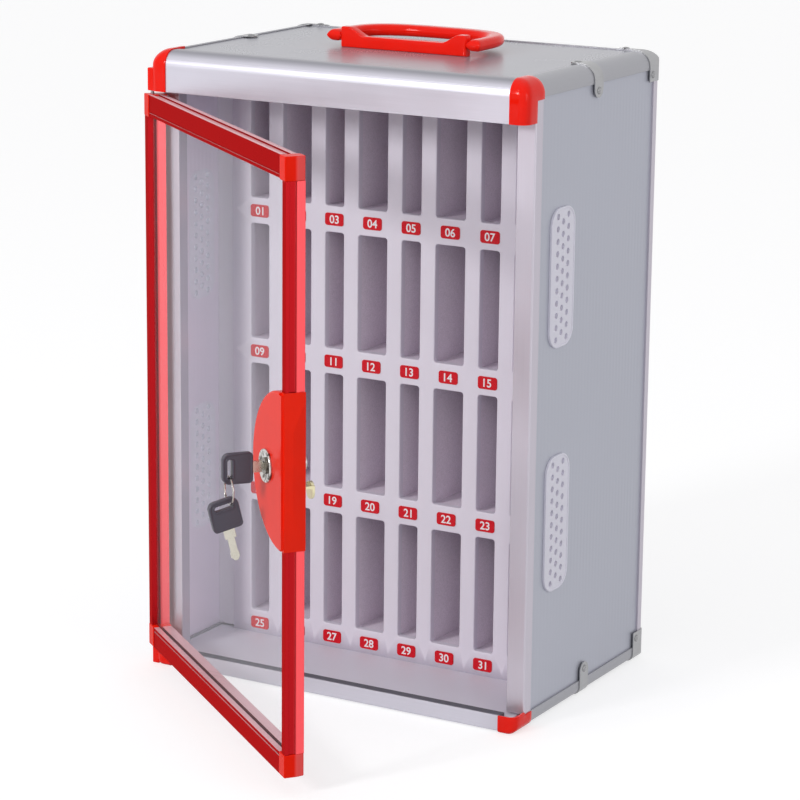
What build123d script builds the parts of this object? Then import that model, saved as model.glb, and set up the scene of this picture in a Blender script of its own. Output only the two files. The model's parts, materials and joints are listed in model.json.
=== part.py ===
from build123d import *
import os

# Cell phone locker box: an aluminium case with a recessed board of 32 numbered
# slots, a framed clear door on the left, a cam lock with its keys, and a folding
# handle on top. Millimetres, +Z up. The front faces -Y, X runs left to right, and
# the origin is the middle of the underside.

# ---------------------------------------------------------------- case
case_w = 305.0             # overall width, over the corner caps
case_d = 210.0             # overall depth
case_h = 462.0             # overall height, without the handle
skin = 0.8                 # caps, steel corners and straps stand this proud
top_r = 11.0               # rounding of the upper edges
bottom_r = 5.0             # rounding of the lower side and back edges
front_corner_r = 6.0       # rounding of the front vertical edges
back_corner_r = 4.0        # rounding of the back vertical edges
front_bottom_r = 2.0       # rounding under the bottom front rail
profile_wall = 1.4         # outer wall of the edge extrusions
top_lip = 0.8              # their lip over the top panel
panel_t = 2.5              # thickness of the case's panels
panel_tuck = 6.0           # from an edge's outer face to the rim of the panel in it
top_tuck = 9.0             # the same for the top panel
web = 5.9                  # thickness of a grooved extrusion leg
fit_gap = 0.1              # clearance round a panel in its groove

edge_leg = 13.2            # width of the top edge extrusions
bottom_leg = 10.2          # width of the bottom edge extrusions
back_leg = 9.0             # width of the back uprights
rail_top_h = 29.7          # height of the top front rail
rail_bottom_h = 12.0       # height of the bottom front rail
rail_d = 15.0              # depth of the front rails, in which the door closes
upright_w = 14.0           # width of the front uprights
upright_d = 10.0           # depth of the front uprights
upright_edge_r = 1.5       # rounding of the uprights' outer front edge

seal_w = 8.0               # seal strip in the bottom front rail
seal_h = 5.7
seal_drop = 0.5            # seal's top face below the rail's lip

lining_t = 2.8             # floor lining, on the edge extrusions' webs

rib_pitch = 5.1            # ribs of the side panels
rib_w = 3.4
rib_h = 0.15

cap_w = 13.5               # corner caps: width on the front face
cap_reach = 26.0           # how far they reach back along the edge
cap_lap = 1.3              # how far their side lobe hangs below the edge extrusion
ear_beyond = 2.2           # hinge ear on the left caps, out from the hinge axis
ear_h = 16.4
ear_fore = 3.4             # its front, before the hinge axis
ear_behind = 5.4           # its back, behind the hinge axis
ear_r = 1.0

steel_side = 18.0          # steel corners: reach on the side face
steel_down = 22.5          # reach along the vertical edge
steel_across = 28.0        # reach along the back edge
steel_back = 16.0          # reach on the back face
strap_w = 13.0             # strap clips
strap_leg_top = 22.0       # leg on the top or bottom face
strap_leg_side = 24.0      # leg on the side face
strap_y = 4.0              # their middle, from the middle of the case

rivet_head_r = 2.7
rivet_head_h = 0.9
rivet_dome = 0.2           # straight part of a head, under its dome
rivet_shank_r = 1.5
rivet_shank = 3.6
rivet_inset = 5.0          # from a lobe's end to its rivet
rivet_back = 13.0          # side rivets of the steel corners, from the back
rivet_side = 9.0           # their back rivets, from the side

vent_w = 36.0              # vent grilles
vent_l = 99.0
vent_corner_r = 13.0
vent_flange = 1.2
vent_rim = 1.2             # flange beyond the cut-out
vent_hole_r = 2.2
vent_pitch = 8.7
vent_column = 7.9
vent_rows = (11, 10, 11)
vent_from_front = 60.0     # vents' middle, behind the front of the case
vent_from_bottom = 141.5   # lower vents' middle, above the case's underside
vent_from_top = 143.5      # upper vents' middle, below the case's top
cut_over = 1.0             # how far a drill runs past a wall

# ---------------------------------------------------------------- slot board
board_recess = 79.0        # front of the board behind the front of the case
board_t = 5.5
strip_left = 15.3          # side fillers beside the board
strip_right = 9.3
rows = 4
columns = 8
first_column_in = 23.6     # board's left side to the middle of the first column
last_column_in = 22.0      # middle of the last column to the board's right side
bottom_band = 18.2         # solid board below the lowest slots
slot_band = 19.5           # solid board between two rows
top_band = 24.5            # solid board above the highest slots
narrow_slot = 15.6         # odd columns
wide_slot = 24.1           # even columns
shelf_t = 1.5
relief = 0.8               # compartments are this much larger than their slot
divider_wall = 1.2
back_gap = 0.8             # dividers and shelves end this far from the back panel
filler_setback = 3.0       # side fillers behind the board's front
filler_t = 2.0
label_w = 15.6
label_h = 9.2
label_t = 0.5
label_r = 2.0
label_drop = 9.8           # label's middle below its slot
slot_r = 1.2               # rounding of a slot's corners
panel_seam = 17.5          # seam between two row panels, below the upper one's slots

# ---------------------------------------------------------------- door
door_beyond = 5.2          # its left side, out from the case
door_short = 6.2           # its right side, in from the case
door_t = 13.8
door_foot = 0.8            # gap above the bottom rail's lip
door_head = 2.5            # gap below the top rail
door_open = 38.5           # how far it stands open, in degrees
door_rail_h = 15.3         # face of its top and bottom rails
door_stile_w = 6.4         # face of its stiles
door_wall = 1.4
bevel_in = 1.2             # bevel along the inner side of the frame's outer sides
bevel_d = 5.2
groove_from = 2.7          # groove round the frame's outer sides
groove_w = 4.7
groove_d = 1.2
lip_groove_from = 2.2      # groove on the rails' face, beside the pane
lip_groove_w = 0.9
lip_groove_d = 0.8
corner_w = 10.7            # plastic corner pieces
corner_h = 16.0
corner_proud = 0.5
door_gap = 0.05            # between the parts of the door's frame and round its pane
pane_t = 2.5
pane_inset = 4.2           # pane behind the door's face
pane_in_stile = 3.2        # pane inside the frame's outer sides
pane_in_rail = 8.5
hinge_in = 4.2             # hinge axis, in from the door's left side
hinge_behind = 4.6         # and behind its face
pin_r = 1.3
pin_in_ear = 8.0
pin_in_door = 8.0
pin_gap = 0.05             # running clearance of the pins

# ---------------------------------------------------------------- lock and keys
lock_in = 28.2             # lock axis, in from the door's right side
housing_r = 53.2           # half-moon housing
housing_in = 3.5           # its middle, in from the door's right side
housing_up = 1.3           # and above the lock
housing_proud = 3.0
housing_wall = 2.4
housing_edge_r = 1.6
wrap_t = 2.4               # housing's wrap over the lock stile's outer side
wrap_flat = 27.0           # half length of the wrap's full thickness
wrap_thin = 0.5            # wrap's thickness at its ends
wrap_fold = 9.0            # rear part of the wrap that slopes inward
wrap_back_t = 0.8          # wrap's thickness at the door's back
fold_front = 31.0          # half length of that slope at its front
fold_back = 46.5           # and at the door's back
backplate_t = 2.5
backplate_r = 19.0
barrel_r = 8.5
head_r = 11.3
head_proud = 2.0
head_edge_r = 0.7
plug_r = 5.5
plug_gap = 0.05
nut_r = 12.0
nut_t = 3.5
cam_t = 2.0
cam_l = 25.2               # axis to tip
cam_crank = 6.6            # how far its tip lies behind its root
cam_root = 15.2            # axis to the crank
cam_w = 12.0
tail_r = 3.5
cam_head_r = 5.0
cam_head_t = 1.6
strike_t = 1.2
strike_w = 9.0
strike_h = 44.0
cam_gap = 0.4              # between the strike and the cam, door closed
cam_lift = 0.2             # between the barrel's end and the cam

bow_l = 20.8               # key bow along the key, and across it
bow_w = 20.6
bow_t = 4.6
bow_end_r = 4.8
bow_neck_r = 2.5
bow_slot_w = 3.4
bow_slot_l = 12.8
bow_slot_from = 3.2        # bow's end to the slot
blade_w = 7.6              # blade's shoulder
blade_t = 2.0
blade_l = 22.0             # beyond the bow
blade_root = 4.0           # inside the bow
shoulder_l = 6.4           # beyond the bow
bit_w = 4.6                # blade beyond the shoulder
tip_w = 5.6                # its thicker end
tip_l = 6.0
tip_point = 2.2
blade_show = 7.9           # between bow and plug, key pushed home
keyway_gap = 0.12
ring_r = 9.3               # split ring, wire's middle
wire_r = 0.8
ring_rest = 0.6            # clearance of the wire in the first bow's slot
spare_tilt = 14.0
spare_hang = -4.5          # spare key's slot middle, along the slot from the wire
spare_rest = 0.5           # and across the slot

# ---------------------------------------------------------------- handle
handle_w = 103.0
handle_y = -7.0            # front of its base
handle_d = 8.0
handle_bar_h = 8.5
lug_h = 14.8
lug_w = 7.5
lug_slope = 11.0
handle_edge_r = 0.8
bail_arm = 11.2            # width of the bail's arms
bail_reach = 66.0          # front of the base to the bail's back
bail_bar = 13.5            # grip, from front to back
bail_straight = 9.5        # straight part of its arms, behind the pivot
bail_low = 3.8             # above the top panel
bail_h = 8.4
bail_edge_r = 2.6
pivot_y = 4.0              # behind the base's front
pivot_r = 2.0
pivot_l = 7.0
pivot_gap = 0.05
side_gap = 0.4             # between lug and arm
screw_r = 1.9
screw_head_r = 3.6
screw_head_h = 2.0
screw_l = 7.0
screw_gap = 0.05
screw_spacing = 84.0

# ---------------------------------------------------------------- worked out
half_w = case_w / 2 - skin             # the case's own faces, without the skin
front_y = -case_d / 2 + skin
back_y = case_d / 2 - skin
low_z = skin
high_z = case_h - skin
rail_low = high_z - rail_top_h         # underside of the top front rail
lip_z = low_z + rail_bottom_h          # top of the bottom front rail
upright_y = front_y + rail_d
plate_z = high_z - top_lip             # upper face of the top panel

rim_x = half_w - panel_tuck            # where the panels' rims lie
rim_back = back_y - panel_tuck
rim_low = low_z + panel_tuck
rim_high = high_z - panel_tuck
face_x = half_w - profile_wall         # outer faces of the side panels
face_y = back_y - profile_wall

floor_z = low_z + web + lining_t       # top of the floor lining
vent_y = -case_d / 2 + vent_from_front
vent_z = (vent_from_bottom, case_h - vent_from_top)

board_y = -case_d / 2 + board_recess
inner_back = face_y - panel_t - back_gap
board_left = -(face_x - panel_t) + strip_left
board_right = face_x - panel_t - strip_right
board_top = plate_z - panel_t
first_column_x = board_left + first_column_in
column_pitch = (board_right - last_column_in - first_column_x) / (columns - 1)
first_row_z = floor_z + bottom_band
row_pitch = (board_top - top_band + slot_band - first_row_z) / rows
slot_h = row_pitch - slot_band

door_left = -case_w / 2 - door_beyond
door_right = case_w / 2 - door_short
door_low = lip_z + door_foot
door_high = rail_low - door_head
door_y = front_y                       # closed door's outer face
door_back = door_y + door_t
pane_y = door_y + pane_inset
hinge_x = door_left + hinge_in
hinge_y = door_y + hinge_behind
lock_x = door_right - lock_in
lock_z = (door_low + door_high) / 2
housing_x = door_right - housing_in
housing_z = lock_z + housing_up


def block(x, y, z):
    """A box between two values of x, y and z, each pair in either order."""
    x, y, z = sorted(x), sorted(y), sorted(z)
    middle = Pos(sum(x) / 2, sum(y) / 2, sum(z) / 2)
    return middle * Box(x[1] - x[0], y[1] - y[0], z[1] - z[0])


def rod(axis, radius, start, length):
    """A cylinder from a start point, along +X, +Y or +Z."""
    turn = {"x": Rot(0, 90, 0), "y": Rot(-90, 0, 0), "z": Rot(0, 0, 0)}[axis]
    bottom = (Align.CENTER, Align.CENTER, Align.MIN)
    return Pos(*start) * turn * Cylinder(radius, length, align=bottom)


def groove(x, y, z, gap=fit_gap):
    """A panel's box with a clearance past its rims; its two faces stay a close fit."""
    spans = [tuple(sorted(span)) for span in (x, y, z)]
    thin = min(hi - lo for lo, hi in spans)
    return block(*[(lo, hi) if hi - lo == thin else (lo - gap, hi + gap) for lo, hi in spans])


def joined(parts):
    """Several separate solids as one piece."""
    return Compound([solid for part in parts for solid in part.solids()])


def mirrored(part):
    """The same part on the other side of the case."""
    return mirror(part, about=Plane.YZ)


def case_shape(grow=0.0):
    """The case's rounded outer shape, grown outward all over."""
    x = (-half_w - grow, half_w + grow)
    y = (front_y - grow, back_y + grow)
    z = (low_z - grow, high_z + grow)
    plan = block(x, y, z)
    plan = fillet(plan.edges().filter_by(Axis.Z).group_by(Axis.Y)[0], front_corner_r + grow)
    plan = fillet(plan.edges().filter_by(Axis.Z).group_by(Axis.Y)[-1], back_corner_r + grow)
    across = block(x, y, z)
    across = fillet(across.edges().filter_by(Axis.Y).group_by(Axis.Z)[-1], top_r + grow)
    across = fillet(across.edges().filter_by(Axis.Y).group_by(Axis.Z)[0], bottom_r + grow)
    along = block(x, y, z)
    along = fillet(along.edges().filter_by(Axis.X).group_by(Axis.Z)[-1], top_r + grow)
    low_edges = along.edges().filter_by(Axis.X).group_by(Axis.Z)[0].sort_by(Axis.Y)
    along = fillet(low_edges[0], front_bottom_r + grow)
    low_edges = along.edges().filter_by(Axis.X).group_by(Axis.Z)[0].sort_by(Axis.Y)
    along = fillet(low_edges[-1], bottom_r + grow)
    return plan & across & along


body_shape = case_shape()
skin_shape = case_shape(skin)

# Panels as boxes, (x, y, z), so that the extrusions can be grooved for them.
side_box = ((face_x - panel_t, face_x), (upright_y + panel_tuck, rim_back), (rim_low, rim_high))
top_rim_x = half_w - top_tuck
top_box = ((-top_rim_x, top_rim_x), (front_y + top_tuck, back_y - top_tuck), (plate_z - panel_t, plate_z))
bottom_box = ((-rim_x, rim_x), (front_y + panel_tuck, rim_back),
              (low_z + profile_wall, low_z + profile_wall + panel_t))
back_box = ((-rim_x, rim_x), (face_y - panel_t, face_y), (rim_low, rim_high))
lining_x = half_w - web - fit_gap
seal_back = front_y + profile_wall + seal_w
lining_box = ((-lining_x, lining_x), (seal_back + fit_gap, back_y - web - fit_gap), (low_z + web, floor_z))


def grooved(part):
    """Cut the panels' grooves in a piece that holds their rims."""
    for x, y, z in (side_box, top_box, bottom_box, back_box, lining_box):
        part = part - groove(x, y, z)
    x, y, z = side_box
    return part - groove((-x[0], -x[1]), y, z)


# ---------------------------------------------------------------- case extrusions
def rail_top_front():
    """Tube with a rounded upper edge, grooved at the back for the top panel."""
    span = (-case_w / 2 + cap_w, case_w / 2 - cap_w)
    tube = body_shape & block(span, (front_y, upright_y), (rail_low, high_z))
    hollow = block(span, (front_y + profile_wall, upright_y - profile_wall),
                   (rail_low + profile_wall, high_z - web))
    return grooved(tube - hollow)


def rail_bottom_front():
    """Low rail with a front lip, a groove for the seal and a seat for the floor."""
    span = (-case_w / 2 + cap_w, case_w / 2 - cap_w)
    rail = body_shape & block(span, (front_y, upright_y), (low_z, lip_z))
    seal_floor = lip_z - seal_drop - seal_h
    rail = rail - block(span, (front_y + profile_wall, upright_y), (seal_floor, lip_z))
    return grooved(rail)


def door_seal():
    """Dark strip that the door's lower edge meets."""
    top = lip_z - seal_drop
    span = (-case_w / 2 + cap_w, case_w / 2 - cap_w)
    return block(span, (front_y + profile_wall, seal_back), (top - seal_h, top))


def side_edge(z_out, leg, lap=0.0):
    """Right-hand edge extrusion along Y; z_out is its outer face, up or down."""
    inward = -1 if z_out > case_h / 2 else 1
    start = -case_d / 2 + cap_reach
    span = (start, back_y - (edge_leg if inward < 0 else bottom_leg))
    bar = body_shape & block((half_w - leg, half_w), span, (z_out, z_out + inward * leg))
    hollow = block((0, half_w - web), span, (z_out + inward * web, z_out + inward * leg * 2))
    return grooved(bar - hollow)


def back_edge(z_out, leg):
    """Edge extrusion along X at the back, over the full width."""
    inward = -1 if z_out > case_h / 2 else 1
    bar = body_shape & block((-half_w, half_w), (back_y - leg, back_y), (z_out, z_out + inward * leg))
    inner = (-half_w + web, half_w - web)
    hollow = block(inner, (0, back_y - web), (z_out + inward * web, z_out + inward * leg * 2))
    return grooved(bar - hollow)


def upright_front():
    """Right-hand front upright, set back behind the rails by the door's recess."""
    top = high_z - edge_leg - cap_lap
    bottom = low_z + bottom_leg + fit_gap
    x = (half_w - upright_w, half_w)
    bar = block(x, (upright_y, upright_y + upright_d), (bottom, top))
    outer = bar.edges().filter_by(Axis.Z).group_by(Axis.Y)[0].sort_by(Axis.X)[-1]
    bar = fillet(outer, upright_edge_r)
    hollow = block((x[0] + profile_wall, face_x - panel_t - profile_wall),
                   (upright_y + profile_wall, back_y), (bottom, top))
    return grooved(bar - hollow)


def upright_back():
    """Right-hand back upright, an angle between the back edge extrusions."""
    z = (low_z + bottom_leg, high_z - edge_leg)
    bar = body_shape & block((half_w - back_leg, half_w), (back_y - back_leg, back_y), z)
    hollow = block((0, half_w - web), (0, back_y - web), z)
    return grooved(bar - hollow)


# ---------------------------------------------------------------- panels
def vent_outline(z, shrink=0.0):
    """Rounded outline of one vent, facing +X."""
    flat = RectangleRounded(vent_w - 2 * shrink, vent_l - 2 * shrink, vent_corner_r - shrink)
    return Plane(origin=(0, vent_y, z), x_dir=(0, 1, 0), z_dir=(1, 0, 0)) * flat


def panel_right():
    """Side panel with fine upright ribs and two vent cut-outs."""
    x, y, z = side_box
    rib_from, rib_to = upright_y + upright_d, back_y - back_leg
    rib_z = (low_z + bottom_leg + cap_lap, high_z - edge_leg - cap_lap)
    count = int((rib_to - rib_from) / rib_pitch)
    ribs = [block((x[1], x[1] + rib_h), (at - rib_w / 2, at + rib_w / 2), rib_z)
            for at in [rib_from + rib_pitch * (i + 0.5) for i in range(count)]]
    panel = block(x, y, z)
    for rib in ribs:
        panel = panel + rib
    for vent in vent_z:
        hole = extrude(vent_outline(vent, vent_rim), x[1] + rib_h)
        panel = panel - hole
    return panel


def vents_right():
    """Two moulded grilles, each a flange outside and a body through the panel."""
    x = side_box[0]
    depth = panel_t + rib_h + vent_flange + 2 * cut_over
    grilles = []
    for z in vent_z:
        flange = Pos(x[1] + rib_h, 0, 0) * extrude(vent_outline(z), vent_flange)
        body = Pos(x[0], 0, 0) * extrude(vent_outline(z, vent_rim + fit_gap), panel_t + rib_h)
        grille = flange + body
        for column, number in enumerate(vent_rows):
            y = vent_y + (column - 1) * vent_column
            for i in range(number):
                at = z + (i - (number - 1) / 2) * vent_pitch
                grille = grille - rod("x", vent_hole_r, (x[0] - cut_over, y, at), depth)
        grilles.append(grille)
    return joined(grilles)


# ---------------------------------------------------------------- corners, straps, rivets
def corner_cap(top):
    """Right-hand plastic corner: a lobe on the front face and one along the side."""
    if top:
        front = (rail_low, case_h)
        side = (high_z - edge_leg - cap_lap, case_h)
        side_w = edge_leg + skin
    else:
        front = (0, lip_z)
        side = (0, low_z + bottom_leg)
        side_w = bottom_leg + skin
    right = case_w / 2
    lobes = block((right - cap_w, right), (-case_d / 2, upright_y), front)
    lobes += block((right - side_w, right), (upright_y, -case_d / 2 + cap_reach), side)
    return grooved(skin_shape & lobes)


def hinge_cap(top):
    """Left-hand corner with an ear that holds a hinge pin above or below the door."""
    out = hinge_x - ear_beyond
    ear_y = (hinge_y - ear_fore, hinge_y + ear_behind)
    if top:
        ear_z = (rail_low, rail_low + ear_h)
        bore_z = rail_low
    else:
        ear_z = (0, lip_z)
        bore_z = lip_z - pin_in_ear
    ear = block((out, -case_w / 2 + cap_w / 2), ear_y, ear_z)
    outer = ear.edges().filter_by(Axis.Z).group_by(Axis.X)[0]
    ear = fillet(outer, ear_r)
    inside = block((-half_w, 0), (front_y, 0), (0, case_h))
    cap = mirrored(corner_cap(top)) + (ear - inside)
    return cap - rod("z", pin_r, (hinge_x, hinge_y, bore_z), pin_in_ear)


def hinge_pins():
    """Steel pins, fast in the ears and free in the door's corners."""
    length = pin_in_ear + pin_in_door
    top = rod("z", pin_r, (hinge_x, hinge_y, door_high - pin_in_door), length + door_head)
    bottom = rod("z", pin_r, (hinge_x, hinge_y, lip_z - pin_in_ear), length + door_foot)
    return joined([top, bottom])


def steel_corner(top):
    """Right-hand back corner, pressed to the case's rounded shape."""
    z_out, inward = (case_h, -1) if top else (0, 1)
    right, back = case_w / 2, case_d / 2
    leg = edge_leg if top else bottom_leg
    zone = block((right - steel_back, right), (back - steel_side, back),
                 (z_out, z_out + inward * steel_down))
    zone += block((right - steel_across, right), (back - leg, back), (z_out, z_out + inward * leg))
    return (skin_shape - body_shape) & zone


def strap(top):
    """Right-hand clip over the edge, with a rounded end on each leg."""
    z_out, inward = (case_h, -1) if top else (0, 1)
    right = case_w / 2
    half = strap_w / 2
    y = (strap_y - half, strap_y + half)
    in_x, in_z = right - strap_leg_top + half, z_out + inward * (strap_leg_side - half)
    zone = block((in_x, right), y, (z_out, in_z))
    zone += rod("x", half, (right - edge_leg, strap_y, in_z), edge_leg)
    depth = edge_leg
    zone += rod("z", half, (in_x, strap_y, min(z_out, z_out + inward * depth)), depth)
    return (skin_shape - body_shape) & zone


def rivet_seats():
    """Each rivet's place on the steel's outer face, and the axis it lies along."""
    right, back = case_w / 2, case_d / 2
    flat_y = back - top_r - skin
    seats = []
    for z_out, up in ((case_h, 1), (0, -1)):
        corner_z = z_out - up * (steel_down - rivet_inset)
        strap_z = z_out - up * (strap_leg_side - rivet_inset)
        seats.append(((right, back - rivet_back, corner_z), "x"))
        seats.append(((right - rivet_side, back, corner_z), "y"))
        seats.append(((right, strap_y, strap_z), "x"))
    seats.append(((right - steel_across + rivet_inset, flat_y, case_h), "z"))
    seats.append(((right - strap_leg_top + rivet_inset, strap_y, case_h), "z"))
    return seats


def rivet_hole(seat, gap=0.0):
    """A rivet's shank, or with a gap the tool that drills its hole."""
    foot, axis = list(seat[0]), seat[1]
    foot["xyz".index(axis)] -= rivet_shank
    return rod(axis, rivet_shank_r + gap, foot, rivet_shank)


def rivet(seat):
    """A rivet with a domed head."""
    place, axis = seat
    head = rod(axis, rivet_head_r, place, rivet_head_h)
    outer = {"x": Axis.X, "y": Axis.Y, "z": Axis.Z}[axis]
    rim = head.edges().filter_by(GeomType.CIRCLE).sort_by(outer)[-1]
    return fillet(rim, rivet_head_h - rivet_dome) + rivet_hole(seat)


def drilled(part):
    """Drill the rivet holes on both sides of the case."""
    for seat in rivet_seats():
        tool = rivet_hole(seat, pin_gap)
        part = part - tool - mirrored(tool)
    return part


# ---------------------------------------------------------------- slot board
def slot_x(column):
    """Middle of a column of slots."""
    return first_column_x + column * column_pitch


def slot_w(column):
    """Slots are narrow and wide by turns."""
    return wide_slot if column % 2 else narrow_slot


def slot_z(row):
    """Bottom of a row's slots."""
    return first_row_z + row * row_pitch


def compartment_x(column):
    """The two sides of the compartment behind a slot."""
    half = slot_w(column) / 2 + relief
    return slot_x(column) - half, slot_x(column) + half


def shelf_top(row):
    """Upper face of a row's shelf; past the last row it is the ceiling's."""
    if row < rows:
        return slot_z(row) - relief
    return slot_z(rows - 1) + slot_h + relief + shelf_t


def slot_panel(row):
    """One row's front panel with its slots."""
    bottom = floor_z if row == 0 else slot_z(row) - panel_seam
    top = board_top if row == rows - 1 else slot_z(row + 1) - panel_seam
    panel = block((board_left, board_right), (board_y, board_y + board_t), (bottom, top))
    for column in range(columns):
        place = Plane(origin=(slot_x(column), board_y, slot_z(row) + slot_h / 2),
                      x_dir=(1, 0, 0), z_dir=(0, 1, 0))
        panel = panel - extrude(place * RectangleRounded(slot_w(column), slot_h, slot_r), board_t)
    return panel


def dividers():
    """A thin wall on each side of every compartment, slotted between the shelves."""
    y = (board_y + board_t, inner_back)
    walls = []
    for row in range(rows):
        z = (shelf_top(row), shelf_top(row + 1) - shelf_t)
        for column in range(columns):
            left, right = compartment_x(column)
            walls.append(block((left - divider_wall, left), y, z))
            walls.append(block((right, right + divider_wall), y, z))
    return joined(walls)


def shelves():
    """A shelf under each row and a ceiling over the last one."""
    x = (compartment_x(0)[0] - divider_wall, compartment_x(columns - 1)[1] + divider_wall)
    y = (board_y + board_t, inner_back)
    return joined([block(x, y, (shelf_top(row) - shelf_t, shelf_top(row))) for row in range(rows + 1)])


def side_fillers():
    """Strips that close the gap between the board and the side panels."""
    y = (board_y + filler_setback, board_y + filler_setback + filler_t)
    z = (low_z + bottom_leg, high_z - edge_leg)
    inner_x = face_x - panel_t
    return joined([block((-inner_x, board_left), y, z), block((board_right, inner_x), y, z)])


def number_labels():
    """One rounded label under each slot."""
    labels = []
    for row in range(rows):
        for column in range(columns):
            place = Plane(origin=(slot_x(column), board_y, slot_z(row) - label_drop),
                          x_dir=(1, 0, 0), z_dir=(0, -1, 0))
            labels.append(extrude(place * RectangleRounded(label_w, label_h, label_r), label_t))
    return joined(labels)


# ---------------------------------------------------------------- handle
pivot_z = plate_z + bail_low + bail_h / 2
pivot_at = handle_y + pivot_y
bail_outer = handle_w / 2 + side_gap + bail_arm        # half width over the bail's arms


def handle_base():
    """Flat bar with a raised, sloping lug at each end."""
    half, lug = handle_w / 2, handle_w / 2 - lug_w
    bar, top = plate_z + handle_bar_h, plate_z + lug_h
    outline = Polyline((-half, plate_z), (half, plate_z), (half, top), (lug, top), (lug - lug_slope, bar),
                       (lug_slope - lug, bar), (-lug, top), (-half, top), close=True)
    place = Plane(origin=(0, handle_y, 0), x_dir=(1, 0, 0), z_dir=(0, -1, 0))
    base = extrude(place * make_face(outline), -handle_d)
    rims = base.edges().filter_by(Axis.X) + base.edges().filter_by(Axis.Z)
    base = fillet(rims.filter_by(lambda edge: edge.center().Z > plate_z + handle_edge_r), handle_edge_r)
    for x in (-screw_spacing / 2, screw_spacing / 2):
        base = base - rod("z", screw_r + screw_gap, (x, handle_y + handle_d / 2, plate_z), screw_l)
    for side in (-half, half - pivot_l):
        base = base - rod("x", pivot_r, (side, pivot_at, pivot_z), pivot_l)
    return base


def handle_pivots():
    """Two steel pins, fast in the lugs and free in the bail."""
    reach = side_gap + pivot_l
    right = rod("x", pivot_r, (handle_w / 2 - pivot_l, pivot_at, pivot_z), pivot_l + reach)
    return joined([right, mirrored(right)])


def bail_outline(across, along):
    """Half oval on straight arms, closed at the pivot."""
    turn_y = pivot_at + bail_straight
    oval = Pos(0, turn_y) * Ellipse(across, along)
    arms = Pos(0, (pivot_at + turn_y) / 2) * Rectangle(2 * across, turn_y - pivot_at)
    keep = Pos(0, pivot_at + bail_reach / 2) * Rectangle(2 * across, bail_reach)
    return (oval + arms) & keep


def handle_bail():
    """Folding grip, a flat bow with round arms' ends, as it lies folded back."""
    depth = bail_reach - pivot_y - bail_straight
    ring = bail_outline(bail_outer, depth) - bail_outline(bail_outer - bail_arm, depth - bail_bar)
    grip = extrude(Pos(0, 0, pivot_z - bail_h / 2) * ring, bail_h)
    rims = grip.edges().group_by(Axis.Z)[0] + grip.edges().group_by(Axis.Z)[-1]
    grip = fillet([edge for edge in rims if edge.center().Y > pivot_at + bail_edge_r], bail_edge_r)
    for x in (-bail_outer, bail_outer - bail_arm):
        end = rod("x", bail_h / 2, (x, pivot_at, pivot_z), bail_arm)
        grip = grip + fillet(end.edges().filter_by(GeomType.CIRCLE), bail_edge_r)
    reach = side_gap + pivot_l
    for x in (-handle_w / 2 - reach, handle_w / 2):
        grip = grip - rod("x", pivot_r + pivot_gap, (x, pivot_at, pivot_z), reach)
    return grip


def handle_screws():
    """Screws from inside the case up into the base."""
    under = plate_z - panel_t
    screws = []
    for x in (-screw_spacing / 2, screw_spacing / 2):
        place = (x, handle_y + handle_d / 2)
        shank = rod("z", screw_r, (*place, under), panel_t + screw_l)
        screws.append(shank + rod("z", screw_head_r, (*place, under - screw_head_h), screw_head_h))
    return joined(screws)


def panel_top():
    """Top panel, drilled for the handle's screws and the rivets."""
    panel = block(*top_box)
    for x in (-screw_spacing / 2, screw_spacing / 2):
        tool = rod("z", screw_r + screw_gap, (x, handle_y + handle_d / 2, plate_z - panel_t), panel_t)
        panel = panel - tool
    return drilled(panel)


# ---------------------------------------------------------------- door, closed
hinge = Pos(hinge_x, hinge_y, 0)


def opened(part):
    """Swing a piece of the door from closed to where it stands open."""
    swing = hinge * Rot(0, 0, -door_open) * hinge.inverse()
    return joined([swing * solid for solid in part.solids()])


def door_frame():
    """The whole frame as one ring, to be divided into rails, stiles and corners."""
    width, height = door_right - door_left, door_high - door_low
    middle_x, middle_z = (door_left + door_right) / 2, (door_low + door_high) / 2

    def face(y, inset):
        place = Plane(origin=(middle_x, y, middle_z), x_dir=(1, 0, 0), z_dir=(0, -1, 0))
        return place * Rectangle(width - 2 * inset, height - 2 * inset)

    bevel_y = door_back - bevel_d
    solid = block((door_left, door_right), (door_y, bevel_y), (door_low, door_high))
    solid += loft([face(bevel_y, 0), face(door_back, bevel_in)])
    y = (door_y + groove_from, door_y + groove_from + groove_w)
    rim = block((door_left, door_right), y, (door_low, door_high))
    rim -= block((door_left + groove_d, door_right - groove_d), y, (door_low + groove_d, door_high - groove_d))
    opening = block((door_left + door_stile_w, door_right - door_stile_w), (door_y, door_back),
                    (door_low + door_rail_h, door_high - door_rail_h))
    return solid - rim - opening


def pane_box():
    """The pane's three spans."""
    return ((door_left + pane_in_stile, door_right - pane_in_stile), (pane_y, pane_y + pane_t),
            (door_low + pane_in_rail, door_high - pane_in_rail))


def pane_groove():
    """Room for the pane's rim, with a clearance all round."""
    return block(*[(low - door_gap, high + door_gap) for low, high in pane_box()])


frame_ring = door_frame() - pane_groove()


def door_rail(top):
    """Upper or lower rail, hollow behind the pane, with a fine groove on its face."""
    end_gap = corner_w + door_gap
    x = (door_left + end_gap, door_right - end_gap)
    edge, inward = (door_high, -1) if top else (door_low, 1)
    inner = edge + inward * door_rail_h
    rail = frame_ring & block(x, (door_y, door_back), (edge, inner))
    line = inner - inward * lip_groove_from
    rail = rail - block(x, (door_y, door_y + lip_groove_d), (line, line - inward * lip_groove_w))
    chamber_y = (pane_y + pane_t + door_wall, door_back - door_wall)
    chamber_z = (edge + inward * (bevel_in + groove_d + door_wall), inner - inward * door_wall)
    return rail - block(x, chamber_y, chamber_z)


def door_stile(hinge_side):
    """Upright side of the frame, between the corner pieces."""
    edge, inward = (door_left, 1) if hinge_side else (door_right, -1)
    end_gap = corner_h + door_gap
    z = (door_low + end_gap, door_high - end_gap)
    return frame_ring & block((edge, edge + inward * door_stile_w), (door_y, door_back), z)


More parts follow.
